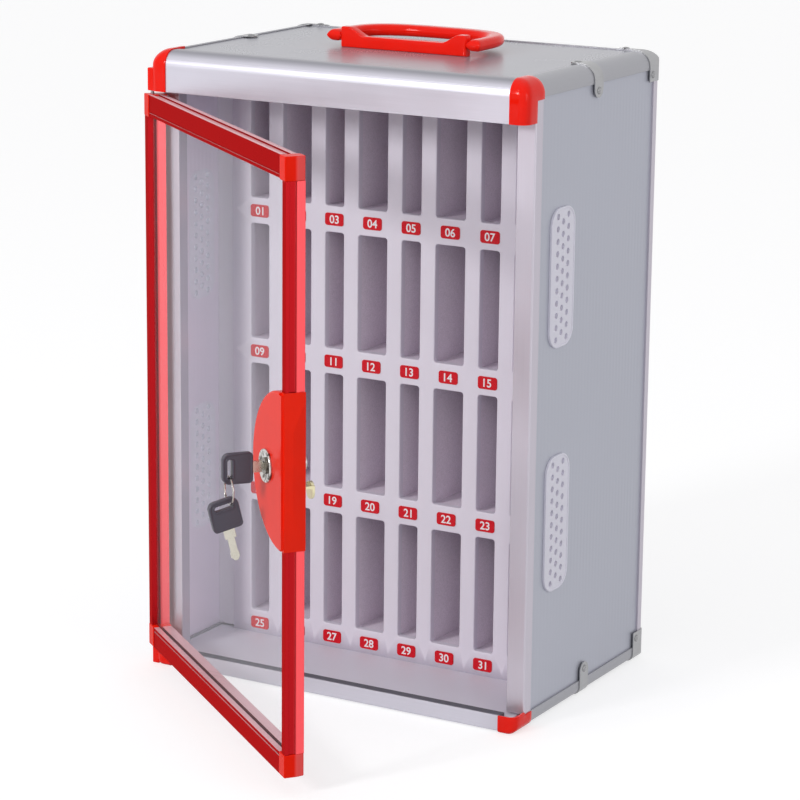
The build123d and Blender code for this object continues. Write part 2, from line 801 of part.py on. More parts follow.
def door_corner(hinge_side, top):
    """Plastic corner piece, standing proud of the face and joining rail and stile."""
    edge, inward = (door_left, 1) if hinge_side else (door_right, -1)
    end, up = (door_high, -1) if top else (door_low, 1)
    x = (edge, edge + inward * corner_w)
    z = (end, end + up * corner_h)
    corner = block(x, (door_y - corner_proud, door_back), z)
    bevel = Plane(origin=(edge, 0, 0), x_dir=(1, 0, 0), z_dir=(0, 0, 1))
    wedge = Polyline((0, door_back - bevel_d), (inward * bevel_in, door_back), (0, door_back), close=True)
    corner = corner - extrude(bevel * make_face(wedge), case_h)
    corner = corner - pane_groove()
    if hinge_side:
        start = door_high - pin_in_door if top else door_low
        corner = corner - rod("z", pin_r + pin_gap, (hinge_x, hinge_y, start), pin_in_door)
    return corner


def door_pane():
    """Clear pane, bored for the lock."""
    return block(*pane_box()) - rod("y", barrel_r, (lock_x, pane_y, lock_z), pane_t)


# ---------------------------------------------------------------- lock, door closed
lock_face = door_y - housing_proud - head_proud        # front of the barrel's head
strike_y = upright_y + upright_d                       # strike plate behind the upright
cam_tip_y = strike_y + strike_t + cam_gap              # front of the cam's tip
cam_y = cam_tip_y - cam_crank                          # front of its root
backplate_y = pane_y + pane_t
nut_y = backplate_y + backplate_t


def lock_housing():
    """Half-moon cover on the pane and stile, with a wrap over the stile's side."""
    face = door_y - housing_proud
    depth = pane_y - face
    moon = rod("y", housing_r, (housing_x, face, housing_z), depth)
    rim = moon.edges().filter_by(GeomType.CIRCLE).sort_by(Axis.Y)[0]
    z = (housing_z - housing_r, housing_z + housing_r)
    moon = fillet(rim, housing_edge_r) & block((0, housing_x), (face, pane_y), z)
    moon = moon + block((housing_x, door_right), (face + housing_edge_r, pane_y), z)
    moon = moon + block((housing_x, door_right), (face, face + housing_edge_r),
                        (z[0] + housing_edge_r, z[1] - housing_edge_r))
    inside = rod("y", housing_r - housing_wall, (housing_x, face + housing_wall, housing_z),
                 depth - housing_wall)
    wall_x = door_right - door_stile_w
    moon = moon - (inside & block((0, wall_x - housing_wall), (face, pane_y), z))
    moon = moon - block((wall_x, door_right), (door_y, pane_y), z)
    boss_l = depth - housing_wall
    moon = moon + rod("y", barrel_r + housing_wall, (lock_x, face + housing_wall, lock_z), boss_l)
    moon = moon - rod("y", barrel_r, (lock_x, face, lock_z), depth)
    end, flat = housing_r, wrap_flat
    outline = Polyline((0, -end), (wrap_thin, -end), (wrap_t, -flat), (wrap_t, flat), (wrap_thin, end),
                       (0, end), close=True)
    place = Plane(origin=(door_right, face + housing_edge_r, housing_z), x_dir=(1, 0, 0), z_dir=(0, -1, 0))
    wrap = extrude(place * make_face(outline), face + housing_edge_r - door_back)
    out, fold_y = door_right + wrap_t, door_back - wrap_fold
    slope = make_face(Polyline((out, fold_y), (out, door_back), (door_right + wrap_back_t, door_back), close=True))
    slope = Pos(0, 0, z[0]) * extrude(slope, 2 * housing_r)
    zone = Polyline((fold_y, -fold_front), (door_back, -fold_back), (door_back, fold_back),
                    (fold_y, fold_front), close=True)
    side = Plane(origin=(door_right, 0, housing_z), x_dir=(0, 1, 0), z_dir=(1, 0, 0))
    wrap = wrap - (slope & extrude(side * make_face(zone), wrap_t))
    return moon + wrap


def lock_backplate():
    """Disc inside the pane under the barrel's nut."""
    disc = rod("y", backplate_r, (lock_x, backplate_y, lock_z), backplate_t)
    return disc - rod("y", barrel_r, (lock_x, backplate_y, lock_z), backplate_t)


def lock_barrel():
    """Barrel with a round head, bored for the plug."""
    head = rod("y", head_r, (lock_x, lock_face, lock_z), head_proud)
    rim = head.edges().filter_by(GeomType.CIRCLE).sort_by(Axis.Y)[0]
    head = fillet(rim, head_edge_r)
    end = cam_y - cam_lift
    barrel = head + rod("y", barrel_r, (lock_x, lock_face + head_proud, lock_z), end - lock_face - head_proud)
    return barrel - rod("y", plug_r + plug_gap, (lock_x, lock_face, lock_z), end - lock_face)


def lock_nut():
    """Hexagonal nut that holds the barrel in the door."""
    place = Plane(origin=(lock_x, nut_y, lock_z), x_dir=(1, 0, 0), z_dir=(0, 1, 0))
    hexagon = extrude(place * RegularPolygon(nut_r, 6), nut_t)
    return hexagon - rod("y", barrel_r, (lock_x, nut_y, lock_z), nut_t)


def lock_plug():
    """Turning plug with its keyway and a tail for the cam."""
    plug = rod("y", plug_r, (lock_x, lock_face, lock_z), cam_y - cam_lift - lock_face)
    plug = plug + rod("y", tail_r, (lock_x, lock_face, lock_z), cam_y + cam_t - lock_face)
    key_l = blade_l - blade_show + keyway_gap
    x, z = blade_t / 2 + keyway_gap, tip_w / 2 + keyway_gap
    return plug - block((lock_x - x, lock_x + x), (lock_face, lock_face + key_l), (lock_z - z, lock_z + z))


def lock_cam():
    """Cranked cam on the plug's tail, pointing down when unlocked."""
    half = cam_w / 2
    x = (lock_x - half, lock_x + half)
    crank_z = lock_z - cam_root
    cam = block(x, (cam_y, cam_y + cam_t), (crank_z, lock_z))
    cam = cam + rod("y", half, (lock_x, cam_y, lock_z), cam_t)
    cam = cam + block(x, (cam_y, cam_tip_y + cam_t), (crank_z - cam_t, crank_z))
    cam = cam + block(x, (cam_tip_y, cam_tip_y + cam_t), (lock_z - cam_l + half, crank_z))
    cam = cam + rod("y", half, (lock_x, cam_tip_y, lock_z - cam_l + half), cam_t)
    return cam - rod("y", tail_r, (lock_x, cam_y, lock_z), cam_t)


def cam_screw():
    """Screw head that keeps the cam on the plug."""
    return rod("y", cam_head_r, (lock_x, cam_y + cam_t, lock_z), cam_head_t)


def strike_plate():
    """Steel plate behind the upright that the cam turns behind."""
    middle = lock_z
    x = (half_w - upright_w, half_w - upright_w + strike_w)
    return block(x, (strike_y, strike_y + strike_t), (middle - strike_h / 2, middle + strike_h / 2))


# ---------------------------------------------------------------- keys
slot_mid = bow_slot_from + bow_slot_w / 2              # bow's end to the slot's middle


def key_bow():
    """Moulded bow, blade end at the origin, lying along -Y with its width along Z."""
    side = Plane(origin=(-bow_t / 2, -bow_l / 2, 0), x_dir=(0, 1, 0), z_dir=(1, 0, 0))
    flat = Rectangle(bow_l, bow_w)
    flat = fillet(flat.vertices().group_by(Axis.X)[0], bow_end_r)
    flat = fillet(flat.vertices().group_by(Axis.X)[-1], bow_neck_r)
    slot = Pos(slot_mid - bow_l / 2, 0) * Rot(0, 0, 90) * SlotOverall(bow_slot_l, bow_slot_w)
    bow = extrude(side * (flat - slot), bow_t)
    return bow - block((-blade_t / 2, blade_t / 2), (-blade_root, 0), (-blade_w / 2, blade_w / 2))


def key_blade():
    """Steel blade along +Y: a wide shoulder, a slim bit and a thicker end."""
    shoulder, bit, tip = blade_w / 2, bit_w / 2, tip_w / 2
    swell = blade_l - tip_l
    upper = [(-blade_root, shoulder), (shoulder_l, shoulder), (shoulder_l, bit), (swell, bit),
             (swell + tip - bit, tip), (blade_l - tip_point, tip), (blade_l, bit / 2)]
    lower = [(along, -across) for along, across in reversed(upper)]
    side = Plane(origin=(-blade_t / 2, 0, 0), x_dir=(0, 1, 0), z_dir=(1, 0, 0))
    return extrude(side * make_face(Polyline(*upper, *lower, close=True)), blade_t)


key_place = Pos(lock_x, lock_face - blade_show, lock_z)
ring_top = lock_z - bow_slot_l / 2 + wire_r + ring_rest
ring_y = lock_face - blade_show - bow_l + slot_mid
ring_middle = (lock_x, ring_y, ring_top - ring_r)
spare_place = (Pos(lock_x, ring_y, ring_top - 2 * ring_r) * Rot(spare_tilt, 0, 0)
               * Rot(-90, 0, 0) * Pos(0, bow_l - slot_mid + spare_rest, spare_hang))


def key_ring():
    """Split ring through both bows, hanging across the first one's slot."""
    return Pos(*ring_middle) * Rot(90, 0, 0) * Torus(ring_r, wire_r)


# ---------------------------------------------------------------- every piece
right_edge_top = drilled(side_edge(high_z, edge_leg))
right_edge_bottom = drilled(side_edge(low_z, bottom_leg))
right_upright_front = upright_front()
right_upright_back = drilled(upright_back())
right_panel = drilled(panel_right())
right_vents = vents_right()
right_steel = [drilled(steel_corner(top)) for top in (True, False)]
right_straps = [drilled(strap(top)) for top in (True, False)]
right_rivets = [rivet(seat) for seat in rivet_seats()]

case_pieces = {
    "rail_top_front": rail_top_front(),
    "rail_bottom_front": rail_bottom_front(),
    "door_seal": door_seal(),
    "edge_top_right": right_edge_top,
    "edge_top_left": mirrored(right_edge_top),
    "edge_bottom_right": right_edge_bottom,
    "edge_bottom_left": mirrored(right_edge_bottom),
    "edge_top_back": drilled(back_edge(high_z, edge_leg)),
    "edge_bottom_back": drilled(back_edge(low_z, bottom_leg)),
    "upright_front_right": right_upright_front,
    "upright_front_left": mirrored(right_upright_front),
    "upright_back_right": right_upright_back,
    "upright_back_left": mirrored(right_upright_back),
    "panel_top": panel_top(),
    "panel_bottom": block(*bottom_box),
    "panel_back": drilled(block(*back_box)),
    "panel_right": right_panel,
    "panel_left": mirrored(right_panel),
    "floor_lining": block(*lining_box),
    "corner_cap_top": corner_cap(True),
    "corner_cap_bottom": corner_cap(False),
    "hinge_cap_top": hinge_cap(True),
    "hinge_cap_bottom": hinge_cap(False),
    "steel_corners": joined(right_steel + [mirrored(piece) for piece in right_steel]),
    "edge_straps": joined(right_straps + [mirrored(piece) for piece in right_straps]),
    "rivets": joined(right_rivets + [mirrored(piece) for piece in right_rivets]),
    "vents_right": right_vents,
    "vents_left": mirrored(right_vents),
    "dividers": dividers(),
    "shelves": shelves(),
    "side_fillers": side_fillers(),
    "number_labels": number_labels(),
    "handle_base": handle_base(),
    "handle_pivots": handle_pivots(),
    "handle_screws": handle_screws(),
    "handle_bail": handle_bail(),
    "hinge_pins": hinge_pins(),
    "strike_plate": strike_plate(),
}
for row in range(rows):
    case_pieces[f"slot_panel_{row + 1}"] = slot_panel(row)

sides = [(hinge_side, top) for hinge_side in (True, False) for top in (True, False)]
door_pieces = {
    "door_rail_top": door_rail(True),
    "door_rail_bottom": door_rail(False),
    "door_stile_hinge": door_stile(True),
    "door_stile_lock": door_stile(False),
    "door_corners": joined([door_corner(*side) for side in sides]),
    "door_pane": door_pane(),
    "lock_housing": lock_housing(),
    "lock_backplate": lock_backplate(),
    "lock_barrel": lock_barrel(),
    "lock_nut": lock_nut(),
    "lock_plug": lock_plug(),
    "lock_cam": lock_cam(),
    "cam_screw": cam_screw(),
    "key_bow": key_place * key_bow(),
    "key_blade": key_place * key_blade(),
    "key_ring": key_ring(),
    "spare_bow": spare_place * key_bow(),
    "spare_blade": spare_place * key_blade(),
}

os.makedirs("parts", exist_ok=True)
for name, piece in case_pieces.items():
    export_step(piece, f"parts/{name}.step")
for name, piece in door_pieces.items():
    export_step(opened(piece), f"parts/{name}.step")
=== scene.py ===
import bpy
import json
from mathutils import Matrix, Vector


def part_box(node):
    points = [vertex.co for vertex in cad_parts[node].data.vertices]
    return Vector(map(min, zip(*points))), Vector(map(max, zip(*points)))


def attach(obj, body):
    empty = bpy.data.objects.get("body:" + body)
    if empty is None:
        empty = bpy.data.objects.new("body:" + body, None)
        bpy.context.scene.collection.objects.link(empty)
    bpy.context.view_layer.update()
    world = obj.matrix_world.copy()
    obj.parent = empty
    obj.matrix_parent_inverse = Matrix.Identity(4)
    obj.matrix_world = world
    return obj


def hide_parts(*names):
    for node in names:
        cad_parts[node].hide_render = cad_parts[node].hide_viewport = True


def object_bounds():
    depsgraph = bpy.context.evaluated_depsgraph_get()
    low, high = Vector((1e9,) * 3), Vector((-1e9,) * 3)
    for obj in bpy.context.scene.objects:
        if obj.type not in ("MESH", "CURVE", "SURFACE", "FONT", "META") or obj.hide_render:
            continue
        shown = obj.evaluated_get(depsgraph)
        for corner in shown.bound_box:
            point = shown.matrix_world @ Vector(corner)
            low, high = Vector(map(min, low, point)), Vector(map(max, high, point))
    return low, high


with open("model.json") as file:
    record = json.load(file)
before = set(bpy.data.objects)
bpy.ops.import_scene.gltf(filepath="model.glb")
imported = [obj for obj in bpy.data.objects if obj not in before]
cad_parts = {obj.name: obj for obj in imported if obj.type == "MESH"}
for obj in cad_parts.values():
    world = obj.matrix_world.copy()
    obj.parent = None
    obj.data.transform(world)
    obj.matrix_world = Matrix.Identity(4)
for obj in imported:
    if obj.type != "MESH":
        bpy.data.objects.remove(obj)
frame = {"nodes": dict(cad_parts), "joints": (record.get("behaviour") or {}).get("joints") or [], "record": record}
cad_box = [list(corner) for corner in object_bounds()]

import json
import math

import bmesh
import bpy
import numpy as np
from mathutils import Matrix, Vector

mm = 0.001

# ------------------------------------------------------------------ studio
# A pale floor without an edge in a white surround. A broad soft lamp stands in front
# on the left, weaker ones on the right and above, and a small one gives the glints.
scene = bpy.context.scene
scene.view_settings.view_transform = "Standard"

camera_place = Vector((1.0782, -1.8915, 0.7316))
camera_forward = Vector((-0.4821, 0.8436, -0.2365)).normalized()
camera_roll = 0.0108            # radians
level_right = camera_forward.cross(Vector((0, 0, 1))).normalized()
level_up = level_right.cross(camera_forward)
camera_right = math.cos(camera_roll) * level_right + math.sin(camera_roll) * level_up
camera_up = camera_right.cross(camera_forward)
camera = bpy.data.objects.new("camera", bpy.data.cameras.new("camera"))
camera.data.sensor_width = 36
camera.data.lens = 136.3
camera.data.clip_start = 0.05
camera.matrix_world = Matrix.Translation(camera_place) @ Matrix(
    (camera_right, camera_up, -camera_forward)).transposed().to_4x4()
scene.collection.objects.link(camera)
scene.camera = camera


def lamp(name, place, target, size, power):
    """A square soft lamp that faces its target."""
    light = bpy.data.lights.new(name, "AREA")
    light.shape = "SQUARE"
    light.size = size
    light.energy = power
    holder = bpy.data.objects.new(name, light)
    way = Vector(target) - Vector(place)
    holder.matrix_world = Matrix.Translation(place) @ way.to_track_quat("-Z", "Y").to_matrix().to_4x4()
    scene.collection.objects.link(holder)


lamp("key_lamp", (-0.85, -2.6, 1.35), (0, 0, 0.2), 0.55, 31)
lamp("side_lamp", (2.4, -0.6, 0.8), (0, 0, 0.2), 1.2, 10)
lamp("top_lamp", (0.1, 0.2, 2.3), (0, 0, 0.2), 1.5, 1)
lamp("glint_lamp", (-0.7, -2.0, 2.0), (0, 0, 0.3), 0.09, 1.5)


class Flow:
    """One output socket; + - * with it and abs() of it add Math nodes to its graph."""

    def __init__(self, graph, socket):
        self.graph = graph
        self.socket = socket

    def math(self, operation, first, second):
        return self.graph.math(operation, first, second)

    def __add__(self, other):
        return self.math("ADD", self, other)

    def __radd__(self, other):
        return self.math("ADD", other, self)

    def __sub__(self, other):
        return self.math("SUBTRACT", self, other)

    def __rsub__(self, other):
        return self.math("SUBTRACT", other, self)

    def __mul__(self, other):
        return self.math("MULTIPLY", self, other)

    def __rmul__(self, other):
        return self.math("MULTIPLY", other, self)

    def __abs__(self):
        return self.math("ABSOLUTE", self, 0)

    def at_most(self, other):
        return self.math("MINIMUM", self, other)


class Graph:
    """The nodes of one material or of the surround."""

    def __init__(self, tree):
        self.tree = tree
        tree.nodes.clear()

    def node(self, kind, settings=None, sockets=None, out=0):
        """One node: its settings first, then its sockets' values or links."""
        made = self.tree.nodes.new(kind)
        for key, value in (settings or {}).items():
            setattr(made, key, value)
        for key, value in (sockets or {}).items():
            self.join(made.inputs[key], value)
        return Flow(self, made.outputs[out]) if made.outputs else made

    def math(self, operation, first, second):
        """A Math node on two values."""
        return self.node("ShaderNodeMath", {"operation": operation}, {0: first, 1: second})

    def join(self, socket, value):
        """Links a Flow to a socket, or sets the socket's own value."""
        if isinstance(value, Flow):
            self.tree.links.new(value.socket, socket)
        else:
            socket.default_value = value

    def seen(self):
        """1 for what the camera, a reflection or a clear pane shows, 0 for light on the object."""
        rays = [self.node("ShaderNodeLightPath", out=f"Is {kind} Ray")
                for kind in ("Camera", "Glossy", "Transmission")]
        return (rays[0] + rays[1] + rays[2]).at_most(1.0)


class Finish(Graph):
    """A material under construction, with one principled shader at its end."""

    def __init__(self, name, slot, colour, roughness, metallic=0.0, **more):
        self.material = bpy.data.materials.new(name)
        self.material.use_nodes = True
        super().__init__(self.material.node_tree)
        self.slot = slot
        shader = self.node("ShaderNodeBsdfPrincipled")
        self.shader = shader.socket.node
        self.node("ShaderNodeOutputMaterial", None, {"Surface": shader})
        self.colour = colour
        self.roughness = roughness
        self.set(Base_Color=(*colour, 1), Roughness=roughness, Metallic=metallic, **more)
        self.place = self.node("ShaderNodeTexCoord", out="Object")

    def set(self, **values):
        """Values or links for the principled shader, with _ for a space."""
        for key, value in values.items():
            self.join(self.shader.inputs[key.replace("_", " ")], value)

    def noise(self, scale, detail=3.0, rough=0.55, stretch=(1, 1, 1)):
        """Noise of about 0 to 1, its features 1/scale metres wide before stretching."""
        at = self.node("ShaderNodeMapping", None, {"Vector": self.place, "Scale": stretch})
        return self.node("ShaderNodeTexNoise", None,
                         {"Vector": at, "Scale": scale, "Detail": detail, "Roughness": rough})

    def cells(self, scale):
        """Distance to the nearest of many scattered points, 1/scale metres apart."""
        return self.node("ShaderNodeTexVoronoi", None, {"Vector": self.place, "Scale": scale})

    def along(self, axis):
        """Metres along X, Y or Z."""
        return self.node("ShaderNodeSeparateXYZ", None, {"Vector": self.place}, out=axis)

    def share(self, vector, direction):
        """How much of a vector goes along a direction."""
        return self.node("ShaderNodeVectorMath", {"operation": "DOT_PRODUCT"},
                         {0: vector, 1: direction}, "Value")

    def faces_to(self, direction, low=0.75, high=0.95):
        """1 where the piece's own surface faces a direction, 0 where it faces elsewhere."""
        normal = self.node("ShaderNodeTexCoord", out="Normal")
        return self.ramp(self.share(normal, direction), low, high, 0, 1)

    def ahead(self, direction):
        """Metres along a direction."""
        return self.share(self.place, direction)

    def ramp(self, value, low, high, start, end):
        """Runs from start to end as the value goes from low to high, and stays there."""
        return self.node("ShaderNodeMapRange", None, {"Value": value, "From Min": low, "From Max": high,
                                                      "To Min": start, "To Max": end})

    def blend(self, amount, first, second):
        """From the first colour to the second as the amount goes from 0 to 1."""
        colours = [c if isinstance(c, Flow) else (*c, 1) for c in (first, second)]
        return self.node("ShaderNodeMix", {"data_type": "RGBA"},
                         {"Factor": amount, 6: colours[0], 7: colours[1]}, out=2)

    def mottle(self, value, spread, rough_spread=0.05):
        """Colour and roughness that vary a little about their own with a noise, most of which
        lies between 0.3 and 0.7."""
        dark = tuple(c * (1 - spread) for c in self.colour)
        pale = tuple(min(1, c * (1 + spread)) for c in self.colour)
        smooth, rough = self.roughness - rough_spread, self.roughness + rough_spread
        self.set(Base_Color=self.blend(self.ramp(value, 0.3, 0.7, 0, 1), dark, pale),
                 Roughness=self.ramp(value, 0.3, 0.7, smooth, rough))

    def over(self, amount, colour):
        """Lays a second colour over the base colour made so far, by an amount of 0 to 1."""
        socket = self.shader.inputs["Base Color"]
        below = Flow(self, socket.links[0].from_socket) if socket.is_linked else self.colour
        self.set(Base_Color=self.blend(amount, below, colour))

    def relief(self, height, depth, edge=0.0):
        """Bump of a height from 0 to 1 and a depth in metres, over edges rounded by a radius."""
        sockets = {"Height": height, "Distance": depth}
        if edge:
            sockets["Normal"] = self.node("ShaderNodeBevel", {"samples": 4}, {"Radius": edge})
        self.set(Normal=self.node("ShaderNodeBump", None, sockets))


def srgb(red, green, blue):
    """A colour as a screen shows it, 0 to 255, turned to linear light."""
    values = np.array([red, green, blue]) / 255
    return tuple(np.where(values <= 0.04045, values / 12.92, ((values + 0.055) / 1.055) ** 2.4).tolist())


floor_finish = Finish("floor", None, (0.5, 0.5, 0.51), 0.8)
floor_glow = 0.62               # only for what the camera or a reflection shows
floor_finish.set(Emission_Strength=1.0,
                 Emission_Color=floor_finish.blend(floor_finish.seen(), (0, 0, 0), (floor_glow,) * 3))
floor_wide = 14
bpy.ops.mesh.primitive_plane_add(size=floor_wide)
floor = bpy.context.object
floor.name = "floor"
floor.data.materials.append(floor_finish.material)

scene.world = bpy.data.worlds.new("surround")
scene.world.use_nodes = True
surround = Graph(scene.world.node_tree)
surround_light = 0.55           # on the object; what is seen of the surround is 1
background = surround.node("ShaderNodeBackground", None, {
    "Color": (1, 1, 1, 1), "Strength": surround_light + surround.seen() * (1 - surround_light)})
surround.node("ShaderNodeOutputWorld", None, {"Surface": background})


# ------------------------------------------------------------------ edge extrusions
# Drawn aluminium with a satin anodised surface: the front rails, the uprights and
# the twelve edges. The die leaves fine lines along each length.
def dress(finish, *nodes):
    """Gives CAD nodes a finish."""
    for name in nodes:
        for slot in frame["nodes"][name].material_slots:
            slot.material = finish.material


def drawn(name, slot, colour, axis, roughness=0.34, metallic=0.6, edge=0.5 * mm):
    """Anodised metal with die lines along one axis and slow clouds of tone."""
    finish = Finish(name, slot, colour, roughness, metallic)
    stretch = [1.0, 1.0, 1.0]
    stretch["xyz".index(axis)] = 0.01
    lines = finish.noise(1400, 2, 0.6, stretch)
    clouds = finish.noise(14, 3, 0.5)
    finish.mottle(lines * 0.5 + clouds * 0.5, 0.035)
    finish.relief(lines, 0.012 * mm, edge)
    return finish


rail_colour = srgb(205, 203, 214)
rail_painted_top_shade = srgb(150, 149, 158)
edge_colour = srgb(168, 168, 174)
upright_colour = srgb(198, 192, 203)
rail_finish = drawn("anodised_rails", "edge_aluminium", rail_colour, "x")
# painted shade: the rails' upward-facing rounding and tops are darkened to a grey, for the dimmer light from above
rail_finish.over(rail_finish.faces_to((0, 0, 1), 0.62, 0.92), rail_painted_top_shade)
dress(rail_finish, "rail_top_front", "rail_bottom_front")
dress(drawn("anodised_cross_edges", "edge_aluminium", edge_colour, "x", 0.4),
      "edge_top_back", "edge_bottom_back")
dress(drawn("anodised_side_edges", "edge_aluminium", edge_colour, "y", 0.4),
      "edge_top_right", "edge_top_left", "edge_bottom_right", "edge_bottom_left")
dress(drawn("anodised_uprights", "edge_aluminium", upright_colour, "z", 0.38),
      "upright_front_right", "upright_front_left", "upright_back_right", "upright_back_left")

# ------------------------------------------------------------------ flat panels
# Coated sheet in the extrusions' grooves: top, bottom and back. The coat is satin,
# with a fine peel and slow changes of tone.
top_finish = Finish("coated_panel", "panel_grey", srgb(156, 156, 166), 0.27, 0.25)
peel = top_finish.noise(900, 3)
top_finish.mottle(peel * 0.2 + top_finish.noise(9, 2) * 0.8, 0.03, 0.02)
top_finish.relief(peel, 0.0015 * mm)
dress(top_finish, "panel_top", "panel_bottom", "panel_back")


# ------------------------------------------------------------------ side panels
# Thin aluminium sheet with fine rolled ribs from top to bottom and two openings
# for the vents. Left and right panels are mirror images.
def quads(rows, columns, rows_close=False, columns_close=False):
    """The four-sided faces between the points of a grid, numbered row by row."""
    i = np.arange(rows if rows_close else rows - 1)[:, None]
    j = np.arange(columns if columns_close else columns - 1)[None, :]
    after_i = (i + 1) % rows
    after_j = (j + 1) % columns
    corners = (i * columns + j, i * columns + after_j, after_i * columns + after_j, after_i * columns + j)
    return np.stack(np.broadcast_arrays(*corners), -1).reshape(-1, 4)


def piece(name, points, faces, finish, body, stands_for=(), crease=40):
    """A mesh from points and faces: doubles merged, faces turned outward, edges past the
    crease angle sharp. It rides on a body and stands for the CAD nodes named."""
    shape = bmesh.new()
    mesh = bpy.data.meshes.new(name)
    mesh.from_pydata(np.asarray(points).reshape(-1, 3).tolist(), [],
                     [list(map(int, face)) for face in faces])
    shape.from_mesh(mesh)
    bmesh.ops.remove_doubles(shape, verts=shape.verts, dist=1e-6)
    bmesh.ops.dissolve_degenerate(shape, edges=shape.edges, dist=1e-7)
    bmesh.ops.recalc_face_normals(shape, faces=shape.faces)
    shape.to_mesh(mesh)
    shape.free()
    mesh.shade_smooth()
    mesh.set_sharp_from_angle(angle=math.radians(crease))
    mesh.materials.append(finish.material)
    made = bpy.data.objects.new(name, mesh)
    scene.collection.objects.link(made)
    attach(made, body)
    if stands_for:
        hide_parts(*stands_for)
    return made


def walled(made, name, thickness, outward):
    """Gives a sheet its thickness on the inner side; outward is above 0 if its faces look out."""
    wall = made.modifiers.new(name, "SOLIDIFY")
    wall.thickness = thickness
    wall.offset = -1 if outward > 0 else 1


rib_pitch = 5.1 * mm
rib_rise = 0.07 * mm
rib_stand = 0.15 * mm           # the solid ribs' height, past the sheet's own face
sheet = 2.5 * mm
rib_fade = 3 * mm               # over which a rib runs out at its ends
rib_from_low = 6 * mm           # plain margins at the panel's ends
rib_from_high = 9 * mm
rib_samples = 10
rib_sharp = 0.7                 # 1 is a cosine wave, less is flatter on top
vent_length = 99 * mm
window_y = 12 * mm              # half size of the openings behind the vents
window_z = 46.5 * mm
window_rim = 1 * mm             # a row of narrow faces round each opening keeps the sheen even

side_finish = Finish("ribbed_sheet", "ribbed_grey", srgb(184, 186, 198), 0.42, 0.35)
grain = side_finish.noise(1100, 2, 0.6, (1, 1, 0.02))
side_finish.mottle(grain * 0.4 + side_finish.noise(7, 3) * 0.6, 0.03)
side_finish.relief(grain, 0.006 * mm)
inner_skin = srgb(240, 232, 246)
mid_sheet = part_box("panel_right")[1][0] - rib_stand - sheet / 2
skin_edge = 0.2 * mm
inside = side_finish.ramp(abs(side_finish.along("X")), mid_sheet - skin_edge, mid_sheet + skin_edge, 1, 0)
side_finish.over(inside, inner_skin)


def vent_middles(side):
    """Middle of each grille on one side, from the frame's box of the pair."""
    low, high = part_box(f"vents_{side}")
    half = vent_length / 2
    return [(low[1] + high[1]) / 2, (low[2] + half, high[2] - half)]


for side, out in (("right", 1), ("left", -1)):
    # the sheet's x waves with y, and the wave fades in and out along z
    low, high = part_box(f"panel_{side}")
    face = (high[0] if out > 0 else -low[0]) - rib_stand
    vent_y, vent_zs = vent_middles(side)
    count = int((high[1] - low[1]) / rib_pitch * rib_samples)
    y = np.linspace(low[1], high[1], count)
    rim_y = [vent_y + step
             for step in (-window_y - window_rim, -window_y, window_y, window_y + window_rim)]
    y = np.sort(np.concatenate([y, rim_y]))
    rib_low, rib_high = low[2] + rib_from_low, high[2] - rib_from_high
    ends = [low[2], rib_low, rib_low + rib_fade, rib_high - rib_fade, rib_high, high[2]]
    rim_z = [z + step for z in vent_zs
             for step in (-window_z - window_rim, -window_z, window_z, window_z + window_rim)]
    z = np.sort(np.concatenate([ends, rim_z]))
    wave = (0.5 + 0.5 * np.cos(2 * np.pi * (y - low[1]) / rib_pitch)) ** rib_sharp
    fade = np.interp(z, ends, (0, 0, 1, 1, 0, 0))
    x = face + rib_rise * wave[None, :] * fade[:, None]
    points = np.stack([out * x, np.broadcast_to(y, x.shape), np.broadcast_to(z[:, None], x.shape)], -1)
    faces = quads(len(z), len(y))
    middles = points.reshape(-1, 3)[faces].mean(axis=1)
    behind = np.zeros(len(faces), bool)
    for vent in vent_zs:
        behind |= (abs(middles[:, 1] - vent_y) < window_y) & (abs(middles[:, 2] - vent) < window_z)
    faces = faces[~behind]
    if out > 0:
        faces = faces[:, ::-1]
    panel = piece(f"ribbed_panel_{side}", points, faces, side_finish, "case", (f"panel_{side}",), 60)
    walled(panel, "sheet", sheet, sum(p.normal.x * p.area for p in panel.data.polygons) * out)

# ------------------------------------------------------------------ vents
# White moulded grilles, two on each side: a flange outside, a body through the
# panel, 32 round holes, and a raised bead along the flange's rim.
vent_width = 36 * mm
vent_corner = 13 * mm
bead_w = 1.6 * mm
bead_h = 0.5 * mm

vent_finish = Finish("vent_plastic", "vent_white", srgb(232, 230, 243), 0.4)
vent_grain = vent_finish.noise(1500, 2)
vent_finish.mottle(vent_grain * 0.5 + vent_finish.noise(30, 2) * 0.5, 0.02)
vent_finish.relief(vent_grain, 0.008 * mm, 0.3 * mm)
dress(vent_finish, "vents_right", "vents_left")


def rounded(width, height, radius, steps=6):
    """Closed outline of a rectangle with a quarter circle at each corner, anticlockwise from the
    right-hand side; radius is one number, or four."""
    turn = np.linspace(0, np.pi / 2, steps + 1)
    angle = (np.arange(4)[:, None] * np.pi / 2 + turn[None, :]).ravel()
    radius = np.repeat(np.broadcast_to(radius, 4), steps + 1)
    quarter = np.repeat(np.arange(4), steps + 1) * np.pi / 2 + np.pi / 4
    across = np.sign(np.cos(quarter)) * (width / 2 - radius) + radius * np.cos(angle)
    up = np.sign(np.sin(quarter)) * (height / 2 - radius) + radius * np.sin(angle)
    return np.stack([across, up], -1)


for side, out in (("right", 1), ("left", -1)):
    low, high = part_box(f"vents_{side}")
    face = high[0] if out > 0 else low[0]
    vent_y, vent_zs = vent_middles(side)
    turn = np.linspace(0, np.pi, 9)
    for number, vent_z in enumerate(vent_zs, 1):
        # half an ellipse across the rim, its foot on the flange, carried round the outline
        inset = bead_w / 2 * (1 - np.cos(turn))
        height = bead_h * np.sin(turn)
        rings = [rounded(vent_width - 2 * i, vent_length - 2 * i, vent_corner - i, 8) for i in inset]
        points = [np.stack([np.full(len(ring), face + out * h),
                            vent_y + ring[:, 0], vent_z + ring[:, 1]], -1)
                  for ring, h in zip(rings, height)]
        piece(f"vent_bead_{side}_{number}", points, quads(len(rings), len(rings[0]), True, True),
              vent_finish, "case")


